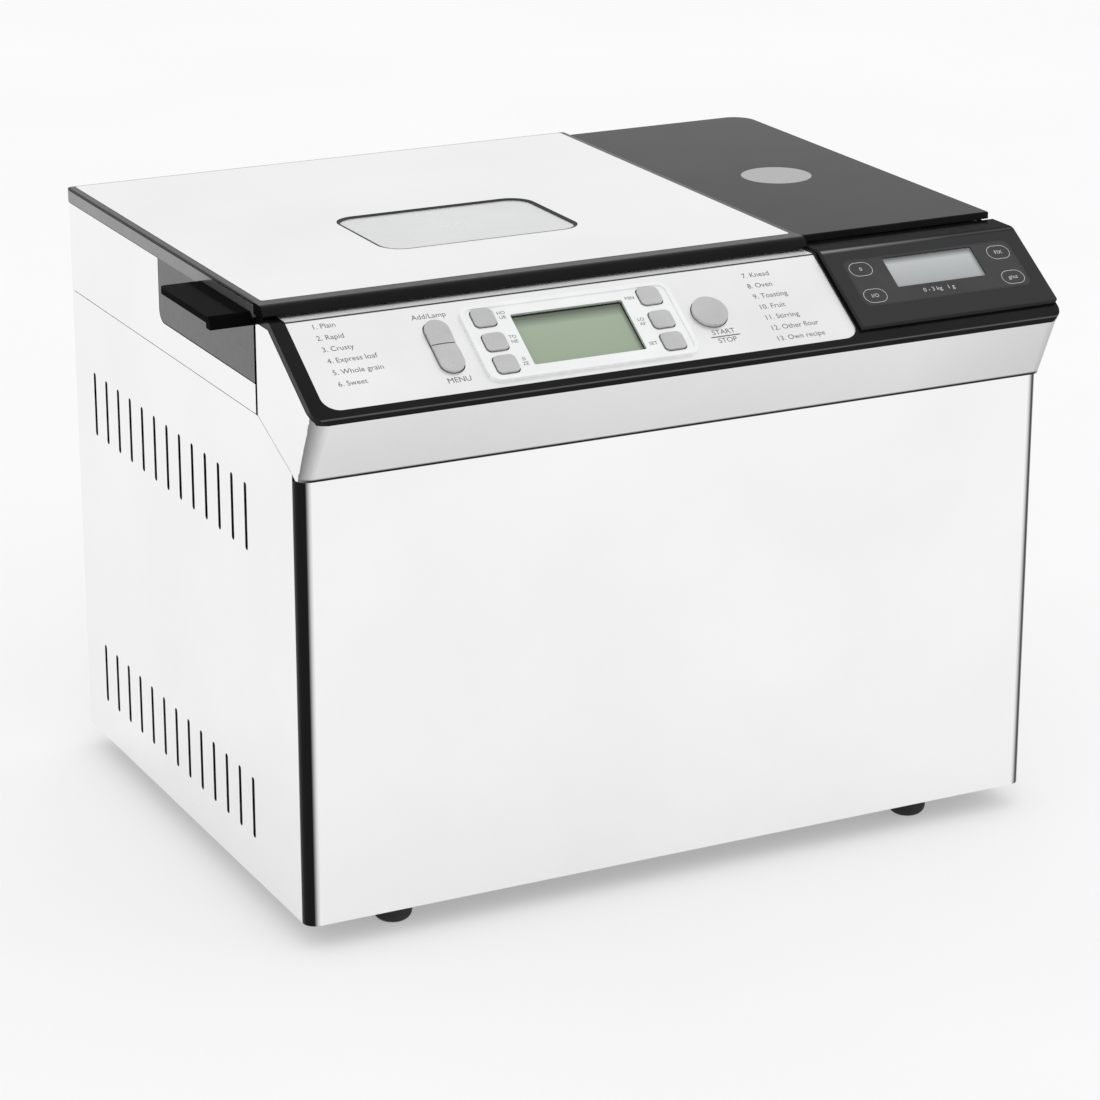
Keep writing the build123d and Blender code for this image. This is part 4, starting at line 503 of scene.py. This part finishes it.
MATERIALS = {
    "polished_steel": polished_steel("polished_steel"),
    "satin_fascia": fascia_metal(),
    "brushed_disc": turned_disc(),
    "black_gloss": gloss_plastic("black_gloss", grey(0.008, 0.001), grey(0.014, 0.001), 0.1, 0.0, 0.3),
    "black_satin": moulded_plastic("black_satin", *JET, 0.42, gloss=0.05),
    "bezel_silver": soft_paint("bezel_silver", (0.88, 0.885, 0.89), (0.93, 0.935, 0.94), 0.16),
    "key_grey": soft_paint("key_grey", grey(0.49, 0.005), grey(0.56, 0.005), 0.30),
    "display_green": display_glass("display_green", (0.29, 0.37, 0.26), (0.34, 0.42, 0.30), "main_display"),
    "display_grey": display_glass("display_grey", (0.33, 0.35, 0.36), (0.53, 0.55, 0.55), "scale_display"),
    "black_glass": black_glass(),
    "clear_glass": clear_glass(),
    "film_black": moulded_plastic("film_black", grey(0.018, 0.001), grey(0.03, 0.002), 0.34, 2600.0, 0.00003),
    "rubber_black": rubber("rubber_black", grey(0.010), grey(0.03)),
    "silicone_grey": rubber("silicone_grey", grey(0.24), grey(0.33)),
    "chamber_steel": chamber_steel(),
    "pan_coating": pan_coating(),
    "bright_steel": brushed("bright_steel", grey(0.62, 0.01), grey(0.76, 0.01), 0.2, (1.0, 1.0, 8.0)),
    "heater_steel": heater_steel(),
    "cast_alloy": cast_metal("cast_alloy", grey(0.44, 0.01), grey(0.58, 0.01)),
    "motor_steel": motor_steel(),
    "board_green": circuit_green(),
    "dark_plastic": moulded_plastic("dark_plastic", grey(0.030, 0.002), grey(0.06, 0.003)),
}

# Nodes that look different from the rest of their slot
VARIANTS = {
    "hinge_brackets": satin_metal("bracket_steel", grey(0.42, 0.01), grey(0.54, 0.01), 0.30),
    "lid_handle": gloss_plastic("handle_gloss", grey(0.002), grey(0.004), 0.12, 0.0, 0.002),
    "scale_console": scale_gloss(),
    "console_frame": frame_gloss(),
    "back_panel": satin_metal("rear_sheet", grey(0.56, 0.005), grey(0.66, 0.005), 0.34),
    "front_panel": front_steel(),
    "console_housing": chin_steel(),
    "lid_frame": gloss_plastic("lid_gloss", *JET, 0.14, 0.0, 0.12),
    "lid_top_plate": polished_steel("polished_lid", grey(0.84, 0.005), grey(0.90)),
    "lid_skirt": skirt_gloss(),
}


def finish_cad_nodes():
    """Every CAD node takes the detailed material of its slot in the record, or its own variant."""
    for part in frame["record"]["subparts"]:
        mesh = frame["nodes"][part["node"]].data
        look = VARIANTS.get(part["node"], MATERIALS[part["material_slot"]])
        mesh.materials.clear()
        mesh.materials.append(look.material)


finish_cad_nodes()


# ---------------------------------------------------------------- printing
# Slope millimetres: x from the left side panel, t up the slope, w out of it
PRINT_RISE = 0.03
LINE_WIDTH = 0.35
OVAL_LINE = 0.24
CORNER_STEPS = 8

FASCIA_W = 0.0
LIST_SIZE = 4.0
LEFT_LIST = ("1. Plain", "2. Rapid", "3. Crusty", "4. Express loaf", "5. Whole grain", "6. Sweet")
LEFT_LIST_X = 18.5
LEFT_LIST_TOP = 51.0
LEFT_LIST_PITCH = 6.7
RIGHT_LIST = (
    "7. Knead", "8. Oven", "9. Toasting", "10. Fruit", "11. Stirring", "12. Other flour", "13. Own recipe",
)
RIGHT_LIST_X = 230.5
RIGHT_LIST_TOP = 47.8
RIGHT_LIST_PITCH = 6.5
START_X = middle("start_stop_key").x + 2.0
START_SIZE = 4.0
START_T = 17.2
STOP_T = 12.2
DIVIDER = (START_X - 7.4, START_X + 7.4, 14.4, 15.0)
MENU_X = middle("menu_key").x
MENU_SIZE = 4.2
MENU_T = 11.0
LIGHT_SIZE = 4.0
LIGHT_T = 48.8

BEZEL_W = 1.0
CAPTION_SIZE = 2.7
CAPTION_ROWS = (43.0, 28.6, 15.4)
LEFT_CAPTIONS = ("HO\nUR", "TO\nNE", "SI\nZE")
RIGHT_CAPTIONS = ("MIN", "LO\nAF", "SET")
LEFT_CAPTION_X = middle("left_key_upper").x + 9.3
RIGHT_CAPTION_X = middle("right_key_upper").x - 9.7

FILM_W = 3.25
OVALS = ((288.8, 40.0, "0"), (288.5, 23.3, "I/O"), (363.5, 39.3, "FIX"), (363.5, 23.3, "g/oz"))
OVAL_WIDTH = 12.0
OVAL_HEIGHT = 8.4
OVAL_SIZE = 3.0
RANGE_X = 322.5
RANGE_T = 22.6
RANGE_SIZE = 3.3
FILM_EDGE = (281.4, 371.1, 17.8, 45.8)
FILM_CORNER = 3.6


class Print:
    """Ink printed on one face: lettering and outlines gathered into a single mesh."""

    def __init__(self, name, body, w, slot, look):
        self.form = bmesh.new()
        self.name, self.body, self.w, self.slot, self.look = name, body, w, slot, look

    def text(self, words, x, t, size, align="CENTER"):
        """Lettering beside or around the point (x, t)."""
        curve = bpy.data.curves.new("lettering", "FONT")
        curve.body = words
        curve.size = size * MM
        curve.extrude = PRINT_RISE / 2 * MM
        curve.align_x = align
        curve.align_y = "CENTER"
        curve.resolution_u = 3
        holder = bpy.data.objects.new("lettering", curve)
        bpy.context.scene.collection.objects.link(holder)
        graph = bpy.context.evaluated_depsgraph_get()
        mesh = bpy.data.meshes.new_from_object(holder.evaluated_get(graph))
        mesh.transform(Matrix.Translation(on_slope(x, t, self.w + PRINT_RISE / 2)) @ SLOPE_TURN)
        self.form.from_mesh(mesh)
        bpy.data.objects.remove(holder)
        bpy.data.meshes.remove(mesh)

    def band(self, outer, inner):
        """Flat raised band between two closed rings of (x, t) points."""
        rings = []
        for ring, w in ((outer, 0.0), (outer, PRINT_RISE), (inner, PRINT_RISE), (inner, 0.0)):
            rings.append([self.form.verts.new(on_slope(x, t, self.w + w)) for x, t in ring])
        join_rings(self.form, rings + rings[:1])

    def oval(self, x, t, wide, high):
        """Outline with round ends."""
        outer = rounded(x, t, wide, high, high / 2)
        cut = 2 * OVAL_LINE
        self.band(outer, rounded(x, t, wide - cut, high - cut, (high - cut) / 2))

    def frame(self, box, corner):
        """Thin outline just inside a slope box."""
        x, t = (box[0] + box[1]) / 2, (box[2] + box[3]) / 2
        wide, high, cut = box[1] - box[0], box[3] - box[2], 2 * LINE_WIDTH
        outer = rounded(x, t, wide, high, corner)
        self.band(outer, rounded(x, t, wide - cut, high - cut, corner - LINE_WIDTH))

    def done(self):
        """Makes the object, once everything is gathered."""
        made = mesh_object(self.name, self.form, self.look)
        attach(made, self.body)


def rounded(x, t, wide, high, corner):
    """Closed ring of points round a rectangle with rounded corners and the middle (x, t)."""
    points = []
    for quarter, (sx, st) in enumerate(((1, 1), (-1, 1), (-1, -1), (1, -1))):
        cx, ct = x + sx * (wide / 2 - corner), t + st * (high / 2 - corner)
        for step in range(CORNER_STEPS + 1):
            turn = math.radians(90) * (quarter + step / CORNER_STEPS)
            points.append((cx + corner * math.cos(turn), ct + corner * math.sin(turn)))
    return points


def join_rings(form, rings):
    """Faces between each ring of vertices and the next."""
    for first, second in zip(rings, rings[1:]):
        count = len(first)
        for i in range(count):
            j = (i + 1) % count
            form.faces.new((first[i], first[j], second[j], second[i]))


def mesh_object(name, form, look):
    """Object made from a bmesh, with outward faces and one material."""
    bmesh.ops.recalc_face_normals(form, faces=form.faces)
    mesh = bpy.data.meshes.new(name)
    form.to_mesh(mesh)
    form.free()
    mesh.materials.append(look.material)
    made = bpy.data.objects.new(name, mesh)
    bpy.context.scene.collection.objects.link(made)
    return made


def ink(name, low, high):
    """Screen ink with a slightly uneven film."""
    s = Shader(name)
    s.set(Base_Color=s.between(s.noise(900.0, 3.0), low, high))
    s.set(Roughness=s.between(s.noise(1500.0), 0.45, 0.65))
    s.bump(s.noise(2500.0, 2.0), 0.00001, 0.3)
    return s


def fascia_printing(look):
    """Programme lists and the names of the large keys."""
    fascia = Print("fascia_print", "casing", FASCIA_W, "dark_plastic", look)
    for row, words in enumerate(LEFT_LIST):
        fascia.text(words, LEFT_LIST_X, LEFT_LIST_TOP - LEFT_LIST_PITCH * row, LIST_SIZE, "LEFT")
    for row, words in enumerate(RIGHT_LIST):
        fascia.text(words, RIGHT_LIST_X, RIGHT_LIST_TOP - RIGHT_LIST_PITCH * row, LIST_SIZE, "LEFT")
    fascia.text("START", START_X, START_T, START_SIZE)
    fascia.text("STOP", START_X, STOP_T, START_SIZE)
    fascia.frame(DIVIDER, LINE_WIDTH)
    fascia.text("MENU", MENU_X, MENU_T, MENU_SIZE)
    fascia.text("Add/Lamp", MENU_X, LIGHT_T, LIGHT_SIZE)
    fascia.done()


def bezel_printing(look):
    """Short captions beside the small keys."""
    bezel = Print("bezel_print", "casing", BEZEL_W, "dark_plastic", look)
    for x, captions in ((LEFT_CAPTION_X, LEFT_CAPTIONS), (RIGHT_CAPTION_X, RIGHT_CAPTIONS)):
        for words, t in zip(captions, CAPTION_ROWS):
            bezel.text(words, x, t, CAPTION_SIZE)
    bezel.done()


def scale_printing(look):
    """Touch keys and range of the kitchen scale."""
    film = Print("scale_print", "casing", FILM_W, "silicone_grey", look)
    for x, t, words in OVALS:
        film.oval(x, t, OVAL_WIDTH, OVAL_HEIGHT)
        film.text(words, x, t, OVAL_SIZE)
    film.text("0 - 3 kg   1 g", RANGE_X, RANGE_T, RANGE_SIZE)
    film.done()


def film_edge_printing(look):
    """Dark border just inside the film's edge."""
    edge = Print("film_edge_print", "casing", FILM_W, "silicone_grey", look)
    edge.frame(FILM_EDGE, FILM_CORNER)
    edge.done()


GREY_INK = ink("grey_ink", grey(0.09, 0.005), grey(0.14, 0.005))
fascia_printing(GREY_INK)
bezel_printing(GREY_INK)
scale_printing(ink("white_ink", grey(0.55), grey(0.65)))
film_edge_printing(ink("edge_ink", grey(0.010), grey(0.018)))


# ---------------------------------------------------------------- seal round the window
# The pane laps under the plate all round its opening
WINDOW_LAP = 2.0
WINDOW_CORNER = 12.0
SEAL_WIDTH = 1.7
SEAL_GAP = 0.1
SEAL_Z = (278.62, 279.36)
SEAL_STEPS = 6


def window_seal(look):
    """Dark seal with a rounded crest that holds the pane in the plate's opening."""
    low, high = (local(corner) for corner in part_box("lid_window"))
    centre, size = (low + high) / 2, high - low
    form = bmesh.new()
    rings = []
    for step in range(SEAL_STEPS + 1):
        turn = math.pi * step / SEAL_STEPS
        inset = SEAL_GAP + SEAL_WIDTH * (1 - math.cos(turn)) / 2
        z = SEAL_Z[0] + (SEAL_Z[1] - SEAL_Z[0]) * math.sin(turn)
        cut = 2 * (WINDOW_LAP + inset)
        ring = rounded(centre.x, centre.y, size.x - cut, size.y - cut, WINDOW_CORNER - inset)
        rings.append([form.verts.new(place(x, y, z)) for x, y in ring])
    join_rings(form, rings + rings[:1])
    made = mesh_object("window_seal", form, look)
    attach(made, "lid")


window_seal(rubber("seal_grey", grey(0.02), grey(0.045)))


# ---------------------------------------------------------------- dark sheet behind the vents, standing in for shade
LINER_X = 1.3
LINER_Y = (48.0, 272.0)
LINER_Z = (13.0, 222.0)
LINER_GRID = (56, 52)
LINER_THICK = 0.3
QUILT = 18.0
QUILT_VALLEY = 1.2
QUILT_SWELL = 1.0


def quilted(y, z):
    """How far the quilted sheet stands in from its outermost plane."""
    swell = abs(math.sin(math.pi * y / QUILT) * math.sin(math.pi * z / QUILT))
    return QUILT_VALLEY - QUILT_SWELL * swell


def evenly(span, steps):
    """Values from one end of a span to the other."""
    return [span[0] + (span[1] - span[0]) * step / steps for step in range(steps + 1)]


def vent_shade_sheet(name, x, inward, look):
    """Thin quilted near-black sheet just inside a side panel, a stand-in for the shade behind its vent slots."""
    form = bmesh.new()
    columns, rows = LINER_GRID
    grid = []
    for y in evenly(LINER_Y, columns):
        column = [place(x + inward * quilted(y, z), y, z) for z in evenly(LINER_Z, rows)]
        grid.append([form.verts.new(point) for point in column])
    for i in range(columns):
        for j in range(rows):
            form.faces.new((grid[i][j], grid[i + 1][j], grid[i + 1][j + 1], grid[i][j + 1]))
    made = mesh_object(name, form, look)
    for face in made.data.polygons:
        face.use_smooth = True
    thick = made.modifiers.new("thickness", "SOLIDIFY")
    thick.thickness = LINER_THICK * MM
    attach(made, "casing")


# painted shade: a near-black sheet so that the vent slots read dark
VENT_SHADE_LOOK = rubber("vent_shade_black", grey(0.004), grey(0.012))
vent_shade_sheet("vent_shade_sheet_left", LINER_X, 1, VENT_SHADE_LOOK)
vent_shade_sheet("vent_shade_sheet_right", WIDTH - LINER_X, -1, VENT_SHADE_LOOK)


# ---------------------------------------------------------------- stage, light and camera
SURROUND = 0.97
SOFT_BOX = 900.0
KEY_LIGHT = (-900.0, -1300.0, 1500.0)
KEY_POWER = 1.2
FILL_LIGHT = (1500.0, -700.0, 1100.0)
FILL_POWER = 0.6
LIT_POINT = (WIDTH / 2, 140.0, 120.0)
FLOOR_RADIUS = 30.0
FLOOR_SEGMENTS = 96
FLOOR_GLOW = 0.36
CAMERA_PLACE = (-590.8, -1418.2, 708.3)
CAMERA_DOWN = 19.0384
CAMERA_RIGHT = 26.6578
LENS = 122.67
SENSOR = 36.0
VIEW_DEPTH = 100.0


def in_scene(name, data):
    """Object made from its data and linked into the scene."""
    made = bpy.data.objects.new(name, data)
    bpy.context.scene.collection.objects.link(made)
    return made


def studio():
    """Even white surround and two soft lights."""
    scene = bpy.context.scene
    scene.view_settings.view_transform = "Standard"
    world = bpy.data.worlds.new("studio")
    world.use_nodes = True
    background = world.node_tree.nodes["Background"]
    background.inputs["Color"].default_value = (*WHITE, 1.0)
    background.inputs["Strength"].default_value = SURROUND
    scene.world = world
    soft_light("key_light", KEY_LIGHT, KEY_POWER)
    soft_light("fill_light", FILL_LIGHT, FILL_POWER)


def soft_light(name, position, power):
    """Square soft box that looks at the middle of the machine."""
    data = bpy.data.lights.new(name, "AREA")
    data.size = SOFT_BOX * MM
    data.energy = power
    light = in_scene(name, data)
    light.location = place(*position)
    aim = place(*LIT_POINT) - light.location
    light.rotation_euler = aim.to_track_quat("-Z", "Y").to_euler()


def floor():
    """Large pale floor, slightly mottled, at the level of the feet."""
    mesh = bpy.data.meshes.new("floor")
    form = bmesh.new()
    bmesh.ops.create_circle(form, cap_ends=True, segments=FLOOR_SEGMENTS, radius=FLOOR_RADIUS)
    form.to_mesh(mesh)
    form.free()
    made = in_scene("floor", mesh)
    made.location = (0, 0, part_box("feet")[0].z)
    s = Shader("floor_white")
    s.set(Base_Color=s.between(s.noise(3.0, 3.0), grey(0.60), grey(0.62)), Roughness=0.9)
    s.set(Specular_IOR_Level=0.1, Emission_Color=WHITE, Emission_Strength=FLOOR_GLOW)
    mesh.materials.append(s.material)


def camera():
    """Long lens at the front left, a little above the machine."""
    data = bpy.data.cameras.new("camera")
    data.sensor_width = SENSOR
    data.lens = LENS
    data.clip_end = VIEW_DEPTH
    made = in_scene("camera", data)
    made.location = place(*CAMERA_PLACE)
    made.rotation_euler = (math.radians(90 - CAMERA_DOWN), 0, math.radians(-CAMERA_RIGHT))
    bpy.context.scene.camera = made


studio()
floor()
camera()
